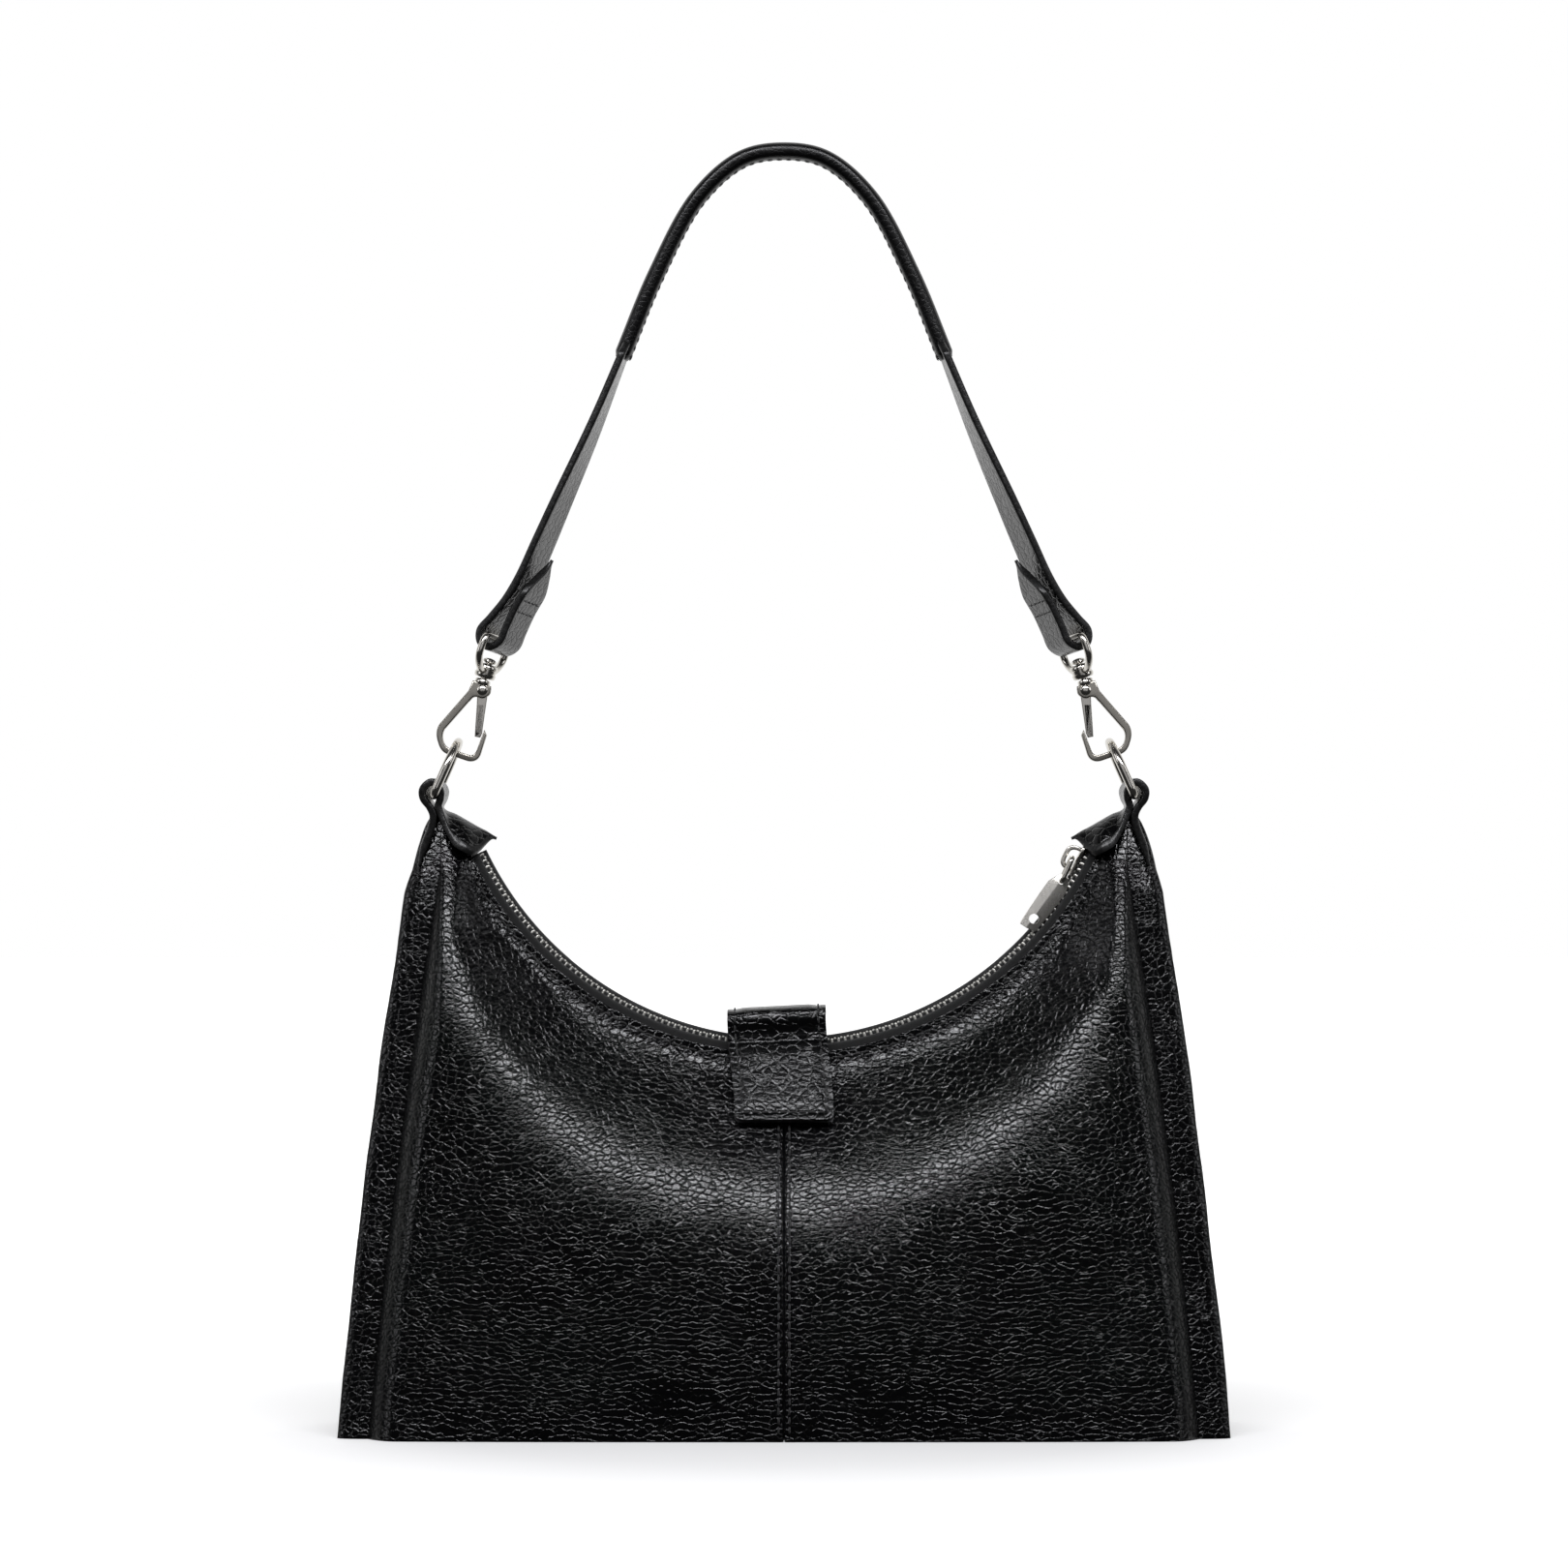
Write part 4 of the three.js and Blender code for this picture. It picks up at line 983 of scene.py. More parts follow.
RING_TOP = (112.8, 238.2)  # (x, z) of the right ring's bow, where the hook hangs, and of its bar
RING_FOOT = (121.0, 219.8)
SWIVEL_S = -1.1  # the swivel's axis, sideways from the middle of the ring's top
HOOK_LEAN = math.radians(19)
EYE_TWIST = math.radians(18)  # how far the eyes and the strap's ends are turned about the swivels
STRAP_HALF_WIDTH = 9.5
HANDLE_HALF_WIDTH = 5.0
HANDLE_THICK = 6.0
HANDLE_STITCH_X = 1.9  # its two stitch rows, either side of the seam
HANDLE_SQUARENESS = 2 / 2.7  # 1 would be an ellipse
HANDLE_END_Z = 371.0
HANDLE_LEATHER_THICK = 0.8
TWIST_START_Z = 392.0  # the strap starts to turn below this, and is turned fully below the next
TWIST_END_Z = 292.0
CROSS_STITCH_HEIGHTS = (282.7, 286.7)
STRAP_POINTS = 900
STRAP_STEP = 1.05  # rough distance between them
TAIL_SHARE = 0.06  # shares of the strap's length: a tail, its pointed part, its thinned end
POINT_SHARE = 0.03
THIN_SHARE = 0.012
STRAP_HALF_PATH = [  # (x, z) from the top of the handle to the point of a tail
    (0, 443), (14.4, 440.3), (29.7, 427), (44.4, 400), (55.2, 373.7), (65.8, 347), (77.4, 320.3),
    (83.2, 307), (88.8, 294.6), (93.8, 286.4), (98.9, 280.4), (102.7, 276), (102.3, 271.8),
    (99, 270.2), (95.4, 272), (93.2, 276.8), (89.8, 284), (85, 291.8), (79.8, 301),
]


def hook_axes(side):
    """Sideways and lengthways directions of a hook, which leans in towards the strap."""
    sideways = np.array([side * math.cos(HOOK_LEAN), 0, math.sin(HOOK_LEAN)])
    lengthways = np.array([-side * math.sin(HOOK_LEAN), 0, math.cos(HOOK_LEAN)])
    return sideways, lengthways


def turned_about(points, foot, axis, angle):
    """Points turned about an axis. angle may differ from point to point."""
    arm = points - foot
    c, s = np.cos(angle)[:, None], np.sin(angle)[:, None]
    along = (arm @ axis)[:, None] * axis
    return foot + along + (arm - along) * c + np.cross(axis, arm) * s


def twist_strap(points):
    """Turns the strap's legs with the eyes, more towards the ends."""
    points = np.array(points, float)
    for side in (-1, 1):
        half = points[:, 0] * side > 0
        sideways, axis = hook_axes(side)
        foot = np.array([side * RING_TOP[0], 0, RING_TOP[1]]) + SWIVEL_S * sideways
        share = smooth((TWIST_START_Z - points[half, 2]) / (TWIST_START_Z - TWIST_END_Z))
        points[half] = turned_about(points[half], foot, axis, side * EYE_TWIST * share)
    return points


def whole_strap_path():
    """The strap's path from the left tail over the handle to the right tail."""
    right = STRAP_HALF_PATH[1:]
    return [(-x, z) for x, z in right[::-1]] + STRAP_HALF_PATH[:1] + right


def strap():
    """The flat strap with its pointed tails, and the rolled handle sewn round its middle."""
    centres, out, across = flat_path(whole_strap_path(), STRAP_POINTS)
    share = np.linspace(0, 1, STRAP_POINTS)
    to_end = np.minimum(share, 1 - share)
    in_handle = smooth((centres[:, 2] - HANDLE_END_Z - 1) / 6)
    pointed = lerp(0.7, STRAP_HALF_WIDTH, smooth(to_end / POINT_SHARE))
    half_width = lerp(pointed, HANDLE_HALF_WIDTH - HANDLE_LEATHER_THICK, in_handle)
    half_thick = lerp(0.55, STRAP_LEATHER / 2, smooth(to_end / THIN_SHARE))

    def turn(ring, _):
        return twist_strap(ring)

    band = strip("strap_band", centres, out, across, half_width, half_thick, turn)
    settle(band, "strap", "strap_leather", "strap")
    rows = []
    for side in (-1, 1):
        tail = np.flatnonzero((to_end < TAIL_SHARE) & (centres[:, 0] * side > 0))
        for height in CROSS_STITCH_HEIGHTS:
            k = tail[np.argmin(np.abs(centres[tail, 2] - height))]
            rows.append(cross_row(centres[k], out[k], across[k], half_width[k], half_thick[k]))
    settle(stitches("strap_stitches", rows, radius=0.24), "strap", "strap_leather")
    handle(centres, out, across)


def cross_row(centre, out, across, half_width, half_thick):
    """A row across the strap, of those that close its end loops, on the face away from out."""
    width = np.linspace(-1, 1, 30)[:, None] * (half_width - 1.6)
    line = centre + across * width - out * (half_thick + 0.1)
    return twist_strap(line), twist_strap(line - out) - twist_strap(line)


def handle(centres, out, across):
    """Leather rolled round the strap's middle, closed by a seam along the inner side."""
    part = centres[:, 2] > HANDLE_END_Z
    line, outward, sideways = centres[part], -out[part], across[part]
    count = len(line)
    to_end = np.minimum(np.arange(count), np.arange(count)[::-1]) * STRAP_STEP
    swell = lerp(0.75, 1, smooth(to_end / 4))
    angle = np.linspace(0, 2 * math.pi, 40, endpoint=False)
    flat_x, flat_y = squared_circle(angle, HANDLE_SQUARENESS)
    seam = -0.45 * bell(np.abs(angle - 1.5 * math.pi), 0.12)
    rings = []
    for centre, side, up, size in zip(line, sideways, outward, swell):
        wide = flat_x * size * HANDLE_HALF_WIDTH
        high = flat_y * (size * HANDLE_THICK / 2 + seam)
        rings.append(twist_strap(centre + side * wide[:, None] + up * high[:, None]))
    settle(loft("strap_handle", rings, HANDLE_LEATHER), "strap", "strap_leather")
    lines = []
    for edge in (-1, 1):
        normal = unit(-outward + sideways * edge * 0.35)
        row = line + sideways * edge * HANDLE_STITCH_X - outward * (HANDLE_THICK / 2 - 0.3)
        lines.append((twist_strap(row), normal))
    settle(stitches("handle_stitches", lines, radius=0.22), "strap", "strap_leather")


# ---------- metal parts ----------

class Frame:
    """A place with its own axes, in millimetres. Points given in it are put into the bag's frame."""

    def __init__(self, origin, x, y, z):
        self.origin = np.array(origin, float)
        self.axes = np.array([x, y, z], float)

    def place(self, points):
        return self.origin + np.asarray(points, float) @ self.axes

    def inner(self, origin, angle):
        """A frame inside this one, turned about its y axis."""
        c, s = math.cos(angle), math.sin(angle)
        x, y, z = self.axes
        return Frame(self.place(origin), x * c - z * s, y, x * s + z * c)


def plate(name, outline, y0, y1, bevel, frame_in, material, holes=()):
    """A plate with softened edges: outlines in the frame's x-z plane, given thickness from y0 to y1."""
    curve = bpy.data.curves.new(name, "CURVE")
    curve.dimensions = "2D"
    curve.fill_mode = "BOTH"
    curve.extrude = (y1 - y0) / 2 - bevel
    curve.bevel_depth = bevel
    curve.bevel_resolution = 3
    curve.offset = -bevel
    for ring in (outline, *holes):
        spline = curve.splines.new("POLY")
        spline.points.add(len(ring) - 1)
        for point, (x, z) in zip(spline.points, ring):
            point.co = (x, z, 0, 1)
        spline.use_cyclic_u = True
    source = bpy.data.objects.new(name + "_curve", curve)
    bpy.context.scene.collection.objects.link(source)
    bpy.context.view_layer.update()
    shape = source.evaluated_get(bpy.context.evaluated_depsgraph_get()).to_mesh()
    flat = np.array([v.co[:] for v in shape.vertices])
    faces = [tuple(p.vertices) for p in shape.polygons]
    bpy.data.objects.remove(source)
    points = frame_in.place(np.column_stack([flat[:, 0], (y0 + y1) / 2 - flat[:, 2], flat[:, 1]]))
    obj = add_mesh(name, points, faces, material)
    return soften(face_out(obj, MERGE))


def soften(obj, angle=35):
    """Shades faces smooth except across edges sharper than the angle."""
    obj.data.shade_smooth()
    obj.data.set_sharp_from_angle(angle=math.radians(angle))
    return obj


def turned(name, profile, frame_in, material, sides=40):
    """A turned piece about the frame's z axis, from (radius, z) pairs."""
    angle = np.linspace(0, 2 * math.pi, sides, endpoint=False)
    rings = [
        frame_in.place(np.column_stack([r * np.cos(angle), r * np.sin(angle), np.full(sides, z)]))
        for r, z in profile
    ]
    return soften(loft(name, rings, material))


def cut(obj, *tools):
    """Takes the tools' shapes out of an object, and the tools with them."""
    for tool in tools:
        modifier = obj.modifiers.new("cut", "BOOLEAN")
        modifier.operation = "DIFFERENCE"
        modifier.solver = "EXACT"
        modifier.object = tool
    bake_modifiers(obj)
    for tool in tools:
        bpy.data.objects.remove(tool)
    return soften(face_out(obj, MERGE))


def block(name, x, y, z, frame_in):
    """A box between the given pairs of limits, used for cutting."""
    corners = [(a, b, c) for a in x for b in y for c in z]
    faces = [(0, 1, 3, 2), (4, 6, 7, 5), (0, 4, 5, 1), (2, 3, 7, 6), (0, 2, 6, 4), (1, 5, 7, 3)]
    return face_out(add_mesh(name, frame_in.place(corners), faces, NICKEL))


def circle(x, z, radius, count=32):
    """A round outline."""
    angle = np.linspace(0, 2 * math.pi, count, endpoint=False)
    return np.column_stack([x + radius * np.cos(angle), z + radius * np.sin(angle)])


def bezier(a, b, c, d, count=14):
    """Points of a cubic curve after its first, from its two ends and two handles."""
    t = np.linspace(0, 1, count)[1:, None]
    a, b, c, d = (np.array(p, float) for p in (a, b, c, d))
    return (1 - t) ** 3 * a + 3 * (1 - t) ** 2 * t * b + 3 * (1 - t) * t * t * c + t ** 3 * d


def outline(start, *moves):
    """An outline from a start point, then line ends or triples of Bezier handles and end."""
    points = [np.array([start], float)]
    for move in moves:
        last = points[-1][-1]
        if isinstance(move[0], tuple):
            points.append(bezier(last, *move))
        else:
            points.append(np.array([move], float))
    return np.concatenate(points)


# The hook's shapes are in (sideways, lengthways), the turned ones in (radius, lengthways).
HOOK_HALF_THICK = 2.0
RIVET = (-2.0, 19.8)
EYE_U = 38.4  # where the eye's bar crosses the strap's loop
EYE_WIRE = 1.3
RING_WIRE = 1.5
RING_HALF_WIDTH = 10.6
RING_CORNER = 3.0

HOOK_SHAPE = (
    (-4.5, 21.9), (2.2, 21.9), (2.5, 18), (8.2, 3.9),
    ((8.9, 1.6), (8, -0.6), (6.6, -2.4)),
    ((5.4, -4.2), (4, -5.2), (2, -5.2)),
    (-4.6, -5.2),
    ((-7, -5.2), (-8.7, -3.8), (-8.7, -1.4)),
    (-8.5, 5.4), (-7.1, 7.0), (-6.9, -0.6),
    ((-6.8, -2.2), (-6, -3), (-4.6, -3)),
    (2, -3),
    ((3.4, -3), (4.7, -2), (5.3, -0.8)),
    ((6, 0.4), (6.2, 1.7), (5.8, 2.9)),
    (0.6, 15.6),
    ((0.2, 16.8), (-1.2, 17.0), (-2, 16.9)),
    ((-3.4, 16.9), (-4.9, 18.2), (-4.9, 19.8)),
)
GATE_TIP = ((-6.75, 5.6), (-6.6, 3.9), (-4.7, 3.6))
GATE_SHOULDER = ((-4.3, 15.6), (-1.7, 14.6))
RIVET_HEAD = ((0.01, 0.95), (0.7, 0.9), (1.3, 0.72), (1.75, 0.4), (1.85, 0.1), (1.85, 0))
SWIVEL_POST = (
    (0.01, 21.4), (2.4, 21.4), (2.7, 22.0), (2.7, 22.9), (2.4, 23.4), (1.3, 23.5), (1.3, 29.2),
    (2.1, 29.4), (2.4, 29.8), (2.3, 30.4), (1.5, 30.9), (0.01, 31.1),
)
YOKE = (
    (1.6, 23.9), (3.1, 23.9), (3.5, 24.2), (3.7, 24.8), (3.7, 25.6), (3.45, 25.8), (3.45, 27.0),
    (3.7, 27.2), (3.7, 28.0), (3.4, 28.6), (2.9, 28.9), (1.6, 28.9),
)
EYE_HALF_PATH = ((2.2, 26.3), (6.2, 26.9), (10, 29), (11.9, 31.6), (12, 35.4), (11.4, 37.4), (10.1, EYE_U))


def hook_frame(side):
    """A hook's own axes, from the top of its ring."""
    sideways, lengthways = hook_axes(side)
    return Frame((side * RING_TOP[0], 0, RING_TOP[1]), sideways, (0, 1, 0), lengthways)


def hook(side, suffix):
    """One swivel hook: body with its post, gate, rivet, and the eye that the strap hangs on."""
    place = hook_frame(side)
    rider = "hook_" + suffix
    axis = place.inner((SWIVEL_S, 0, 0), 0)
    half = HOOK_HALF_THICK
    body = plate("hook_plate_" + suffix, outline(*HOOK_SHAPE), -half, half, 0.5, place, HOOK_NICKEL)
    slot = block("slot", (-7, 1.4), (-1.35, 1.35), (14.5, 21.2), place)
    body = cut(body, slot)
    post = turned("post", SWIVEL_POST, axis, NICKEL)
    settle(joined("hook_body_" + suffix, [body, post]), rider, "hook_metal", "hook_body_" + suffix)

    rounded_end = circle(*RIVET, 2.0, 40)[2:20]
    bore = circle(*RIVET, 1.15)
    gate = plate("gate_plate", [*rounded_end, *GATE_TIP], -1.2, 0.35, 0.3, place, NICKEL, holes=[bore])
    tongue = plate("gate_tongue", [*GATE_SHOULDER, *GATE_TIP[::-1]], -1.2, 1.2, 0.4, place, NICKEL)
    gate = joined("hook_gate_" + suffix, [gate, tongue])
    settle(gate, "gate_" + suffix, "hook_metal", "hook_gate_" + suffix)

    rivet_axis = Frame(place.place((RIVET[0], 0, RIVET[1])), place.axes[0], place.axes[2], (0, 1, 0))
    head = [(r, half + z) for r, z in RIVET_HEAD]
    profile = [(r, -z) for r, z in head] + [(0.8, -half), (0.8, half)] + head[::-1]
    rivet = turned("gate_rivet_" + suffix, profile, rivet_axis, NICKEL)
    settle(rivet, rider, "hook_metal", "gate_rivet_" + suffix)
    swivel_eye(side, suffix, axis)


def swivel_eye(side, suffix, axis):
    """The eye on the hook's post: a turned yoke and a bow of wire, turned with the strap's end."""
    yoke = turned("yoke", [*YOKE, YOKE[0]], axis, NICKEL)
    half = curve_through(EYE_HALF_PATH, 50)
    line = np.concatenate([half, (half * np.array([-1, 1]))[::-1][1:]])
    bow = np.column_stack([np.zeros(len(line)), line])
    c, s = math.cos(EYE_TWIST), math.sin(EYE_TWIST)
    bow = np.column_stack([-bow[:, 1] * s, bow[:, 1] * c, bow[:, 2]])
    wire = tube("bow", axis.place(bow), EYE_WIRE, NICKEL, side=axis.place((c, s, 0)) - axis.origin)
    eye = joined("swivel_eye_" + suffix, [yoke, wire])
    settle(eye, "strap", "hook_metal", "swivel_eye_" + suffix)


def d_ring(side, suffix):
    """A D ring: a straight lower bar in the tab, a round bow above."""
    height = math.hypot(RING_FOOT[0] - RING_TOP[0], RING_TOP[1] - RING_FOOT[1])
    lean = math.atan2(RING_FOOT[0] - RING_TOP[0], RING_TOP[1] - RING_FOOT[1])
    lengthways = (-side * math.sin(lean), 0, math.cos(lean))
    sideways = (side * math.cos(lean), 0, math.sin(lean))
    place = Frame((side * RING_FOOT[0], 0, RING_FOOT[1]), sideways, (0, 1, 0), lengthways)
    arc = np.linspace(0, math.pi, 40)
    centre = height - RING_HALF_WIDTH
    bow = np.column_stack([RING_HALF_WIDTH * np.cos(arc), centre + RING_HALF_WIDTH * np.sin(arc)])
    bend = np.linspace(math.pi, 1.5 * math.pi, 12)
    reach = RING_HALF_WIDTH - RING_CORNER
    corner = np.column_stack([-reach + RING_CORNER * np.cos(bend), RING_CORNER * (1 + np.sin(bend))])
    other = (corner * np.array([-1, 1]))[::-1]
    line = resample(np.concatenate([bow, corner, other, bow[:1]]), 121)[:-1]
    path = place.place(np.column_stack([np.zeros(len(line)), line]))
    obj = tube("ring_" + suffix, path, RING_WIRE, NICKEL, sides=24, closed=True, side=sideways)
    settle(obj, "ring_" + suffix, "hook_metal", "ring_" + suffix)


# ---------- zip ----------

TOOTH_STEP = math.radians(105 / 93)  # the slider's travel is a whole number of teeth
TOOTH_ROOM = 1.9  # from the teeth's middle to the slider's plates
WELT_Y = 6.1  # a woven piping that stands above the front panel's edge
WELT_RISE = 0.6
WELT_RADIUS = 1.9
TAPE_THICKNESS = 0.6
TAPE_SECTION = ((1.6, 0.2), (3.0, 0.0), (4.0, -0.4), (4.5, -2.6), (4.6, -5.2), (6.6, -9))  # (across, height)
TAPE_ANGLES = np.linspace(-ZIP_END, ZIP_END, 240)
TAPE_CORD = 1.05  # radius of the corded edge that the teeth are clamped on
CORD_Y = 1.75
TOOTH_SECTIONS = (  # (across, half length along the zip, half height)
    (-0.45, 0.25, 0.7), (-0.3, 0.45, 1.05), (0.3, 0.52, 1.2), (0.8, 0.4, 1.15),
    (1.3, 0.5, 1.4), (2.5, 0.56, 1.5), (2.9, 0.5, 1.42), (3.0, 0.36, 1.2),
)


def on_zip(points, angle):
    """Points given along, across and up from the zip's middle line at an angle of its arc."""
    points = np.asarray(points, float)
    turn = angle + points[:, 0] / ZIP_RADIUS
    r = ZIP_RADIUS - points[:, 2]
    return np.column_stack([r * np.sin(turn), points[:, 1], ZIP_CENTRE_Z - r * np.cos(turn)])


def soft_box_rings(sections):
    """Rounded rectangular rings across the zip, from (across, half length, half height)."""
    angle = np.linspace(0, 2 * math.pi, 12, endpoint=False) + math.pi / 12
    x, z = squared_circle(angle, 0.5)
    return [np.column_stack([a * x, np.full(len(x), y), h * z]) for y, a, h in sections]


def teeth(side, name):
    """One row of teeth, half a step out of line with the other row."""
    rings = [ring * np.array([1, side, 1]) for ring in soft_box_rings(TOOTH_SECTIONS)]
    count = int(2 * ZIP_END / TOOTH_STEP)
    points, faces = [], []
    for i in range(count):
        angle = (i + 0.5 + 0.25 * side - count / 2) * TOOTH_STEP
        add_rings(points, faces, [on_zip(ring, angle) for ring in rings])
    obj = face_out(add_mesh(name, points, faces, TOOTH_METAL))
    return settle(obj, "bag", "zip_metal", name)


def zip_cord(name, y, height, radius, sides):
    """A woven cord along the zip, at a distance across it and a height over it."""
    line = [(ZIP_RADIUS * angle, y, height) for angle in TAPE_ANGLES]
    return tube(name, on_zip(line, 0), radius, TAPE, sides=sides, side=(0, 1, 0))


def zip_tape(side, name):
    """Woven tape from under the teeth down behind the panel's edge, with a corded edge at the teeth."""
    across, height = curve_through(TAPE_SECTION, 24).T
    section = np.column_stack([np.zeros(len(across)), across * side, height])
    grid = np.array([on_zip(section, angle) for angle in TAPE_ANGLES])
    if side > 0:
        grid = grid[:, ::-1]
    tape = add_mesh(name, grid.reshape(-1, 3), grid_faces(*grid.shape[:2]), TAPE)
    thicken(tape, TAPE_THICKNESS)
    pieces = [bake_modifiers(tape), zip_cord(name + "_cord", CORD_Y * side, 0.1, TAPE_CORD, 12)]
    if side > 0:
        pieces.append(zip_cord(name + "_welt", WELT_Y, WELT_RISE, WELT_RADIUS, 16))
    return settle(joined(name, pieces), "bag", "zip_tape", name)


def zip_stop(name, angle, across, half_length):
    """A stop clamped over the teeth's line between two distances across."""
    middle, half = sum(across) / 2, (across[1] - across[0]) / 2
    shares = ((-1, 0.75), (-0.85, 1), (0.85, 1), (1, 0.75))
    rings = soft_box_rings([(middle + half * s, half_length * k, 1.5 * k) for s, k in shares])
    obj = loft(name, [on_zip(ring, angle) for ring in rings], NICKEL)
    return settle(obj, "bag", "zip_metal", name)


def slider_frame():
    """The slider's place on the zip: x along the zip, z towards the middle of its arc."""
    c, s = math.cos(SLIDER_REST), math.sin(SLIDER_REST)
    foot = (ZIP_RADIUS * s, 0, ZIP_CENTRE_Z - ZIP_RADIUS * c)
    return Frame(foot, (c, 0, s), (0, 1, 0), (-s, 0, c))


def lying(place, height):
    """A frame for plates that lie flat on the zip: its x-z plane is the zip's surface."""
    x, y, z = place.axes
    return Frame(place.place((0, 0, height)), x, z, y)


PLATE_HALF = 0.6  # half thickness of the slider's plates
BRIDGE_BAR_Z = 4.6  # height at which the link passes under the bridge
LINK_LENGTH = 8.8
LINK_WIRE = 0.9
LINK_Y = (-6.1, 2.3)  # the link's two long sides
LINK_CORNER = 1.6
LINK_TURN = math.radians(-3)
PULL_TURN = math.radians(12)
PULL_Y = -4.0  # the pull hangs on the rear side of the link
PULL_THICK = 1.6
PULL_LENGTH = 20.0
PULL_HOLE = 1.7
PULL_RIDGE_SHIFT = 0.5
PULL_END_SLANT = -0.35
PULL_STATIONS = (  # (distance along the pull, half width)
    (2.2, 1.5), (1.2, 2.1), (-1.2, 3.2), (-2.6, 3.75), (-8, 3.7), (-14, 3.45), (-19.3, 3.15),
    (-PULL_LENGTH, 2.9),
)


def zip_slider():
    """The slider: a shield-shaped upper plate, a lower plate, a post and a bridge."""
    place = slider_frame()
    shield = outline(
        (-5.4, -2.9),
        (-1, -3.4), ((1.5, -3.7), (2.6, -4.6), (4.2, -4.6)), ((5.0, -4.6), (5.4, -4.2), (5.4, -3.4)),
        ((5.6, -1.2), (5.6, 1.2), (5.4, 3.4)), ((5.4, 4.2), (5.0, 4.6), (4.2, 4.6)),
        ((2.6, 4.6), (1.5, 3.7), (-1, 3.4)), (-5.4, 2.9), ((-5.8, 1), (-5.8, -1), (-5.4, -2.9)),
    )[:-1]
    top = TOOTH_ROOM
    half = PLATE_HALF
    upper = plate("slider_upper", shield, -half, half, 0.4, lying(place, top + half), NICKEL)
    narrow = shield * np.array([0.98, 0.56])
    lower = plate("slider_lower", narrow, -half, half, 0.4, lying(place, -top - half), NICKEL)
    post = block("slider_post", (1.5, 5), (-0.2, 0.2), (-top - half, top + half), place)
    foot = top + 0.5
    arch = outline(
        (-4.6, foot),
        ((-4.9, 7.6), (-2.9, 7.9), (0, 7.9)), ((2.9, 7.9), (4.9, 7.6), (4.6, foot)), (3.2, foot),
        ((3.3, 6.2), (2.2, 6.3), (0, 6.3)), ((-2.2, 6.3), (-3.3, 6.2), (-3.2, foot)),
    )
    bridge = plate("slider_bridge", arch, -1.25, 1.25, 0.5, place, NICKEL)
    obj = joined("zip_slider", [upper, lower, post, bridge])
    settle(obj, "slider", "zip_metal", "zip_slider")


def zip_link(place):
    """An oblong wire loop through the slider's bridge."""
    y0, y1 = LINK_Y
    turn = np.linspace(0, math.pi / 2, 8)
    corners = ((0, y1, 0), (-LINK_LENGTH, y1, 1), (-LINK_LENGTH, y0, 2), (0, y0, 3))
    line = []
    for x, y, quarter in corners:
        cx = x + (LINK_CORNER if x else -LINK_CORNER)
        cy = y - LINK_CORNER if y > 0 else y + LINK_CORNER
        angle = turn + quarter * math.pi / 2
        line.append(np.column_stack([cx + LINK_CORNER * np.cos(angle), cy + LINK_CORNER * np.sin(angle)]))
    line = np.concatenate([*line, line[0][:1]])
    line = resample(line, 91)[:-1]
    path = place.place(np.column_stack([line, np.zeros(len(line))]))
    obj = tube("zip_link", path, LINK_WIRE, NICKEL, closed=True, side=place.axes[2])
    settle(obj, "link", "zip_metal", "zip_link")


def zip_pull(place):
    """A bar-shaped pull with a lengthwise ridge between two facets and a round hole at its free end."""
    back = PULL_Y + PULL_THICK / 2
    edge = PULL_Y - PULL_THICK / 2 + 0.55
    ridge = PULL_Y - PULL_THICK / 2 - 0.25
    rings = []
    for x, half in PULL_STATIONS:
        slant = PULL_END_SLANT if x == -PULL_LENGTH else 0
        section = [(half, back), (half, edge), (PULL_RIDGE_SHIFT, ridge), (-half, edge), (-half, back)]
        rings.append(place.place([(x + slant * np.sign(z), y, z) for z, y in section]))
    body = loft("zip_pull", rings, SATIN_NICKEL)
    round_edges(body, 0.22, 12)
    bake_modifiers(body)
    across = Frame(place.origin, place.axes[0], place.axes[2], place.axes[1])
    holes = []
    for x, radius in ((0, LINK_WIRE + 0.3), (-PULL_LENGTH + 3.8, PULL_HOLE)):
        inner = Frame(across.place((x, 0, 0)), *across.axes)
        holes.append(turned("hole", ((radius, PULL_Y - 3), (radius, PULL_Y + 3)), inner, SATIN_NICKEL))
    body = cut(body, *holes)
    settle(soften(body, 14), "pull", "zip_metal", "zip_pull")


SNAP_Z = 117.0
SNAP_STUD = ((0.01, -1), (5.9, -1), (6.4, -0.8), (6.5, -0.5), (6.4, -0.1), (6.0, 0), (0.01, 0))
SNAP_SOCKET = (
    (0.01, -2.5), (7.3, -2.5), (7.5, -2.3), (7.4, -1.7), (6.6, -1.35), (3, -1.3), (2.6, -1.6), (0.01, -1.6),
)


def snap():
    """The magnetic snap's two flat discs, on the front panel and inside the tab's front end."""
    slope = math.atan2(tab_face(SNAP_Z - 1) - tab_face(SNAP_Z + 1), 2)
    out = np.array([0, math.cos(slope), math.sin(slope)])
    up = np.array([0, -math.sin(slope), math.cos(slope)])
    place = Frame((0, tab_face(SNAP_Z) + SNAP_ROOM, SNAP_Z), (1, 0, 0), up, out)
    depth = -STRAP_LEATHER - 0.3
    for name, body, profile in (("snap_stud", "flap", SNAP_STUD), ("snap_socket", "bag", SNAP_SOCKET)):
        disc = turned(name, [(r, z + depth) for r, z in profile], place, NICKEL, sides=56)
        settle(disc, body, "hook_metal", name)


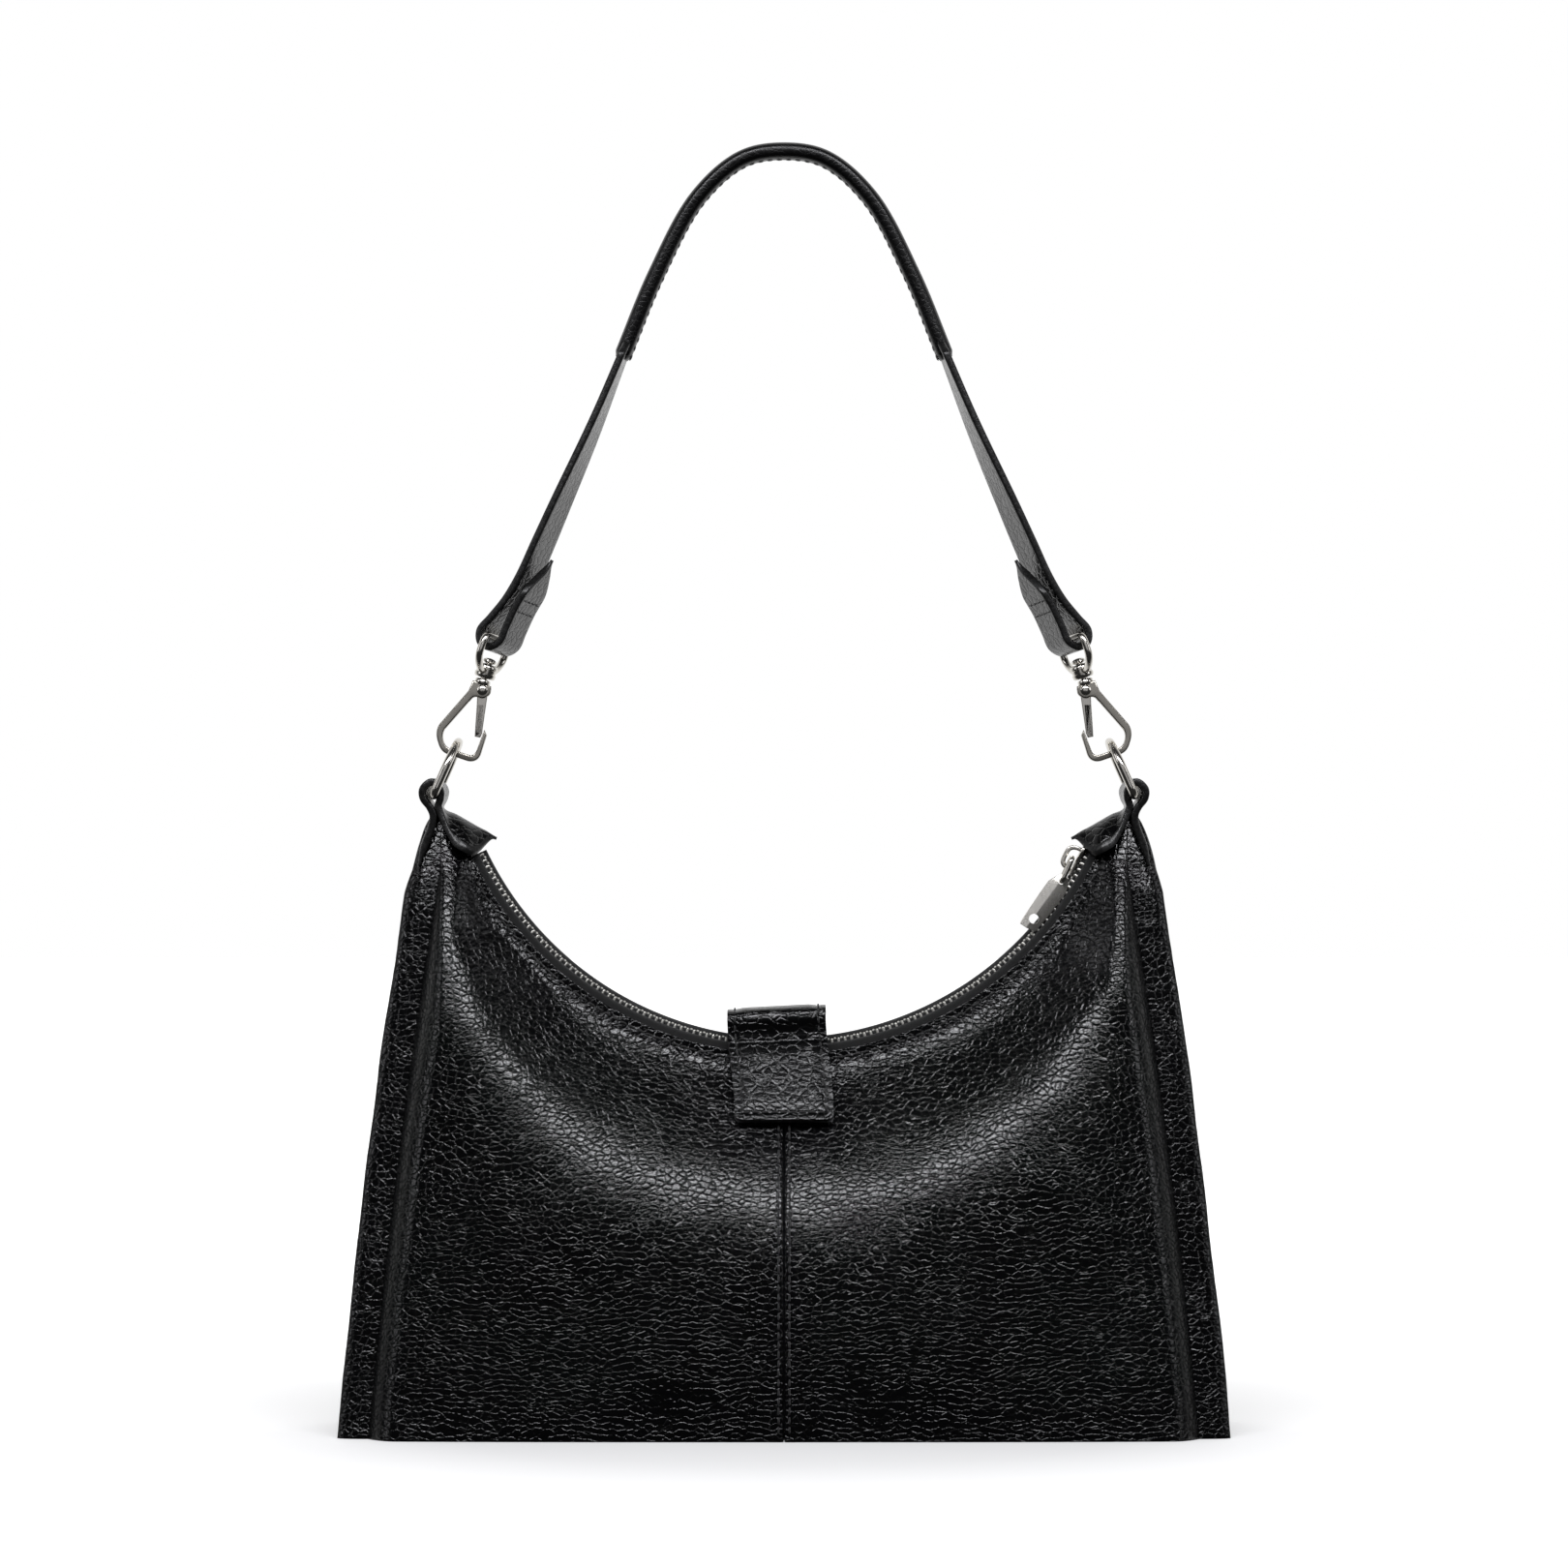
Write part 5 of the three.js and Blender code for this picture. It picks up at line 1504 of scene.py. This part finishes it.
def make_zip():
    """Both rows of teeth with their tapes and stops, and the slider with its link and pull."""
    for side, where in ((-1, "rear"), (1, "front")):
        teeth(side, "zip_teeth_" + where)
        zip_tape(side, "zip_tape_" + where)
        across = (0.5 * side, 3.0 * side)
        zip_stop("zip_top_stop_" + where, ZIP_END + math.radians(0.8), across, 1.15)
    zip_stop("zip_bottom_stop", -ZIP_END - math.radians(0.9), (-3.0, 3.0), 1.4)
    zip_slider()
    link_place = slider_frame().inner((0, 0, BRIDGE_BAR_Z), LINK_TURN)
    zip_link(link_place)
    zip_pull(link_place.inner((-LINK_LENGTH, 0, 0), PULL_TURN))


def make_hardware():
    """The ring tabs, rings and hooks of both sides, and the snap."""
    for side, suffix in ((1, "right"), (-1, "left")):
        ring_tab(side, "ring_tab_" + suffix)
        d_ring(side, suffix)
        hook(side, suffix)
        dress("gate_spring_" + suffix, STEEL)
    snap()


def dress(node, material):
    """Gives a CAD node that keeps its shape its real finish."""
    obj = bpy.data.objects[node]
    for slot in obj.material_slots:
        slot.material = material


# ---------- camera, light and floor ----------

VIEW_HEIGHT = 223.7 * MM
VIEW_DISTANCE = 2.225  # from the middle of the bag
FACE_Y = -14 * MM
FRAME_WIDTH = 540 * MM  # width of the view in the plane y = FACE_Y
SENSOR_WIDTH = 36.0

STUDIO_WHITE = (0.96, 0.965, 1.0)
LIGHT_AIM = (0, 0, 0.12)
SOFTBOXES = (  # (name, place, size, power)
    ("key", (0, -1.55, 1.45), (2.4, 0.28), 32),
    ("side_right", (1.7, -0.7, 0.75), (0.6, 1.0), 3),
    ("side_left", (-1.7, -0.7, 0.75), (0.6, 1.0), 3),
)
METAL_CARD = ("metal_card", (0, -2.7, 0.45), (2.6, 1.3), 4)
FRONT_LEVEL = 0.02
BACKDROP_LEVEL = 0.9
BACKDROP_TURN = (-0.1, 0.75)  # y directions where the level changes: -1 in front of the bag, 1 behind it
FLOOR_GLOW_REACH = (0.12, 0.6)  # from the middle of the bag, in metres
FLOOR_GLOW = (0.3, 1.0)
FLOOR_HALF = 6.0


def make_camera():
    """A level camera straight in front of the rear side."""
    camera = bpy.data.cameras.new("camera")
    camera.sensor_width = SENSOR_WIDTH
    camera.lens = SENSOR_WIDTH * (VIEW_DISTANCE + FACE_Y) / FRAME_WIDTH
    obj = bpy.data.objects.new("camera", camera)
    obj.location = (0, -VIEW_DISTANCE, VIEW_HEIGHT)
    obj.rotation_euler = (math.pi / 2, 0, 0)
    bpy.context.scene.collection.objects.link(obj)
    bpy.context.scene.camera = obj


def area_light(name, place, size, power):
    """A rectangular softbox that faces the bag."""
    data = bpy.data.lights.new(name, "AREA")
    data.shape = "RECTANGLE"
    data.size, data.size_y = size
    data.energy = power
    data.color = STUDIO_WHITE
    obj = bpy.data.objects.new(name, data)
    obj.location = place
    aim = Vector(LIGHT_AIM) - Vector(place)
    obj.rotation_euler = aim.to_track_quat("-Z", "Y").to_euler()
    bpy.context.scene.collection.objects.link(obj)
    return obj


def make_lights():
    """A wide softbox above the front, weak sides, and a card that only the metal reflects."""
    for softbox in SOFTBOXES:
        area_light(*softbox)
    card = area_light(*METAL_CARD)
    card.light_linking.receiver_collection = metal_pieces()


def metal_pieces():
    """The pieces whose first material is a metal."""
    metals = {m.name for m in (NICKEL, SATIN_NICKEL, HOOK_NICKEL, TOOTH_METAL, STEEL)}
    group = bpy.data.collections.new("metal_pieces")
    for obj in bpy.data.objects:
        if obj.type == "MESH" and obj.data.materials and obj.data.materials[0].name in metals:
            group.objects.link(obj)
    return group


def make_colours():
    """Plain display colours, so that white is white and black leather stays black."""
    view = bpy.context.scene.view_settings
    view.view_transform = "Standard"
    view.look = "None"


def make_world():
    """A white backdrop for the camera. Other rays see it bright behind the bag and dim in front of it."""
    world = bpy.data.worlds.new("studio")
    bpy.context.scene.world = world
    world.use_nodes = True
    nodes, links = world.node_tree.nodes, world.node_tree.links
    background = nodes["Background"]
    background.inputs["Color"].default_value = (1, 1, 1, 1)
    direction = nodes.new("ShaderNodeTexCoord")
    split = nodes.new("ShaderNodeSeparateXYZ")
    links.new(direction.outputs["Generated"], split.inputs[0])
    level = nodes.new("ShaderNodeMapRange")
    level.interpolation_type = "SMOOTHSTEP"
    start, end = BACKDROP_TURN
    settings = {"From Min": start, "From Max": end, "To Min": FRONT_LEVEL, "To Max": BACKDROP_LEVEL}
    for key, value in settings.items():
        level.inputs[key].default_value = value
    links.new(split.outputs["Y"], level.inputs["Value"])
    ray = nodes.new("ShaderNodeLightPath")
    choice = nodes.new("ShaderNodeMix")
    links.new(ray.outputs["Is Camera Ray"], choice.inputs["Factor"])
    links.new(level.outputs["Result"], choice.inputs["A"])
    choice.inputs["B"].default_value = 1.0
    links.new(choice.outputs["Result"], background.inputs["Strength"])


def make_floor():
    """A pale floor that glows away from the bag, so that it fades into the backdrop."""
    n = Nodes("pale_floor")
    mottle = n.noise(n.place, 3.0, 2.0)
    shade = n.mix(mottle, (0.9, 0.9, 0.9, 1), (0.93, 0.93, 0.93, 1))
    n.finish(Base_Color=shade, Roughness=0.8, Specular_IOR_Level=0.1)
    away = n.add("ShaderNodeVectorMath", {0: n.place}, operation="LENGTH").outputs["Value"]
    glow = n.remap(away, *FLOOR_GLOW_REACH, *FLOOR_GLOW)
    n.tree.links.new(glow, n.shader.inputs["Emission Strength"])
    n.shader.inputs["Emission Color"].default_value = (1, 1, 1, 1)
    corners = [(x * FLOOR_HALF, y * FLOOR_HALF, 0) for x, y in ((-1, -1), (1, -1), (1, 1), (-1, 1))]
    floor = add_mesh("floor", corners, [(0, 1, 2, 3)], n.material, scale=1.0)
    floor.visible_diffuse = False
    floor.visible_glossy = False
    floor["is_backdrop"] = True


def write_sizes():
    """Works out the CAD model's box and the visual model's box as plain lists, which are not used further.
    """
    boxes = {"cad": cad_box, "visual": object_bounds()}
    plain = {key: [list(corner) for corner in box] for key, box in boxes.items()}


make_camera()
make_colours()
make_world()
make_floor()
make_body()
closure_tab()
strap()
make_zip()
make_hardware()
dress("base_board", BOARD)
make_lights()
write_sizes()
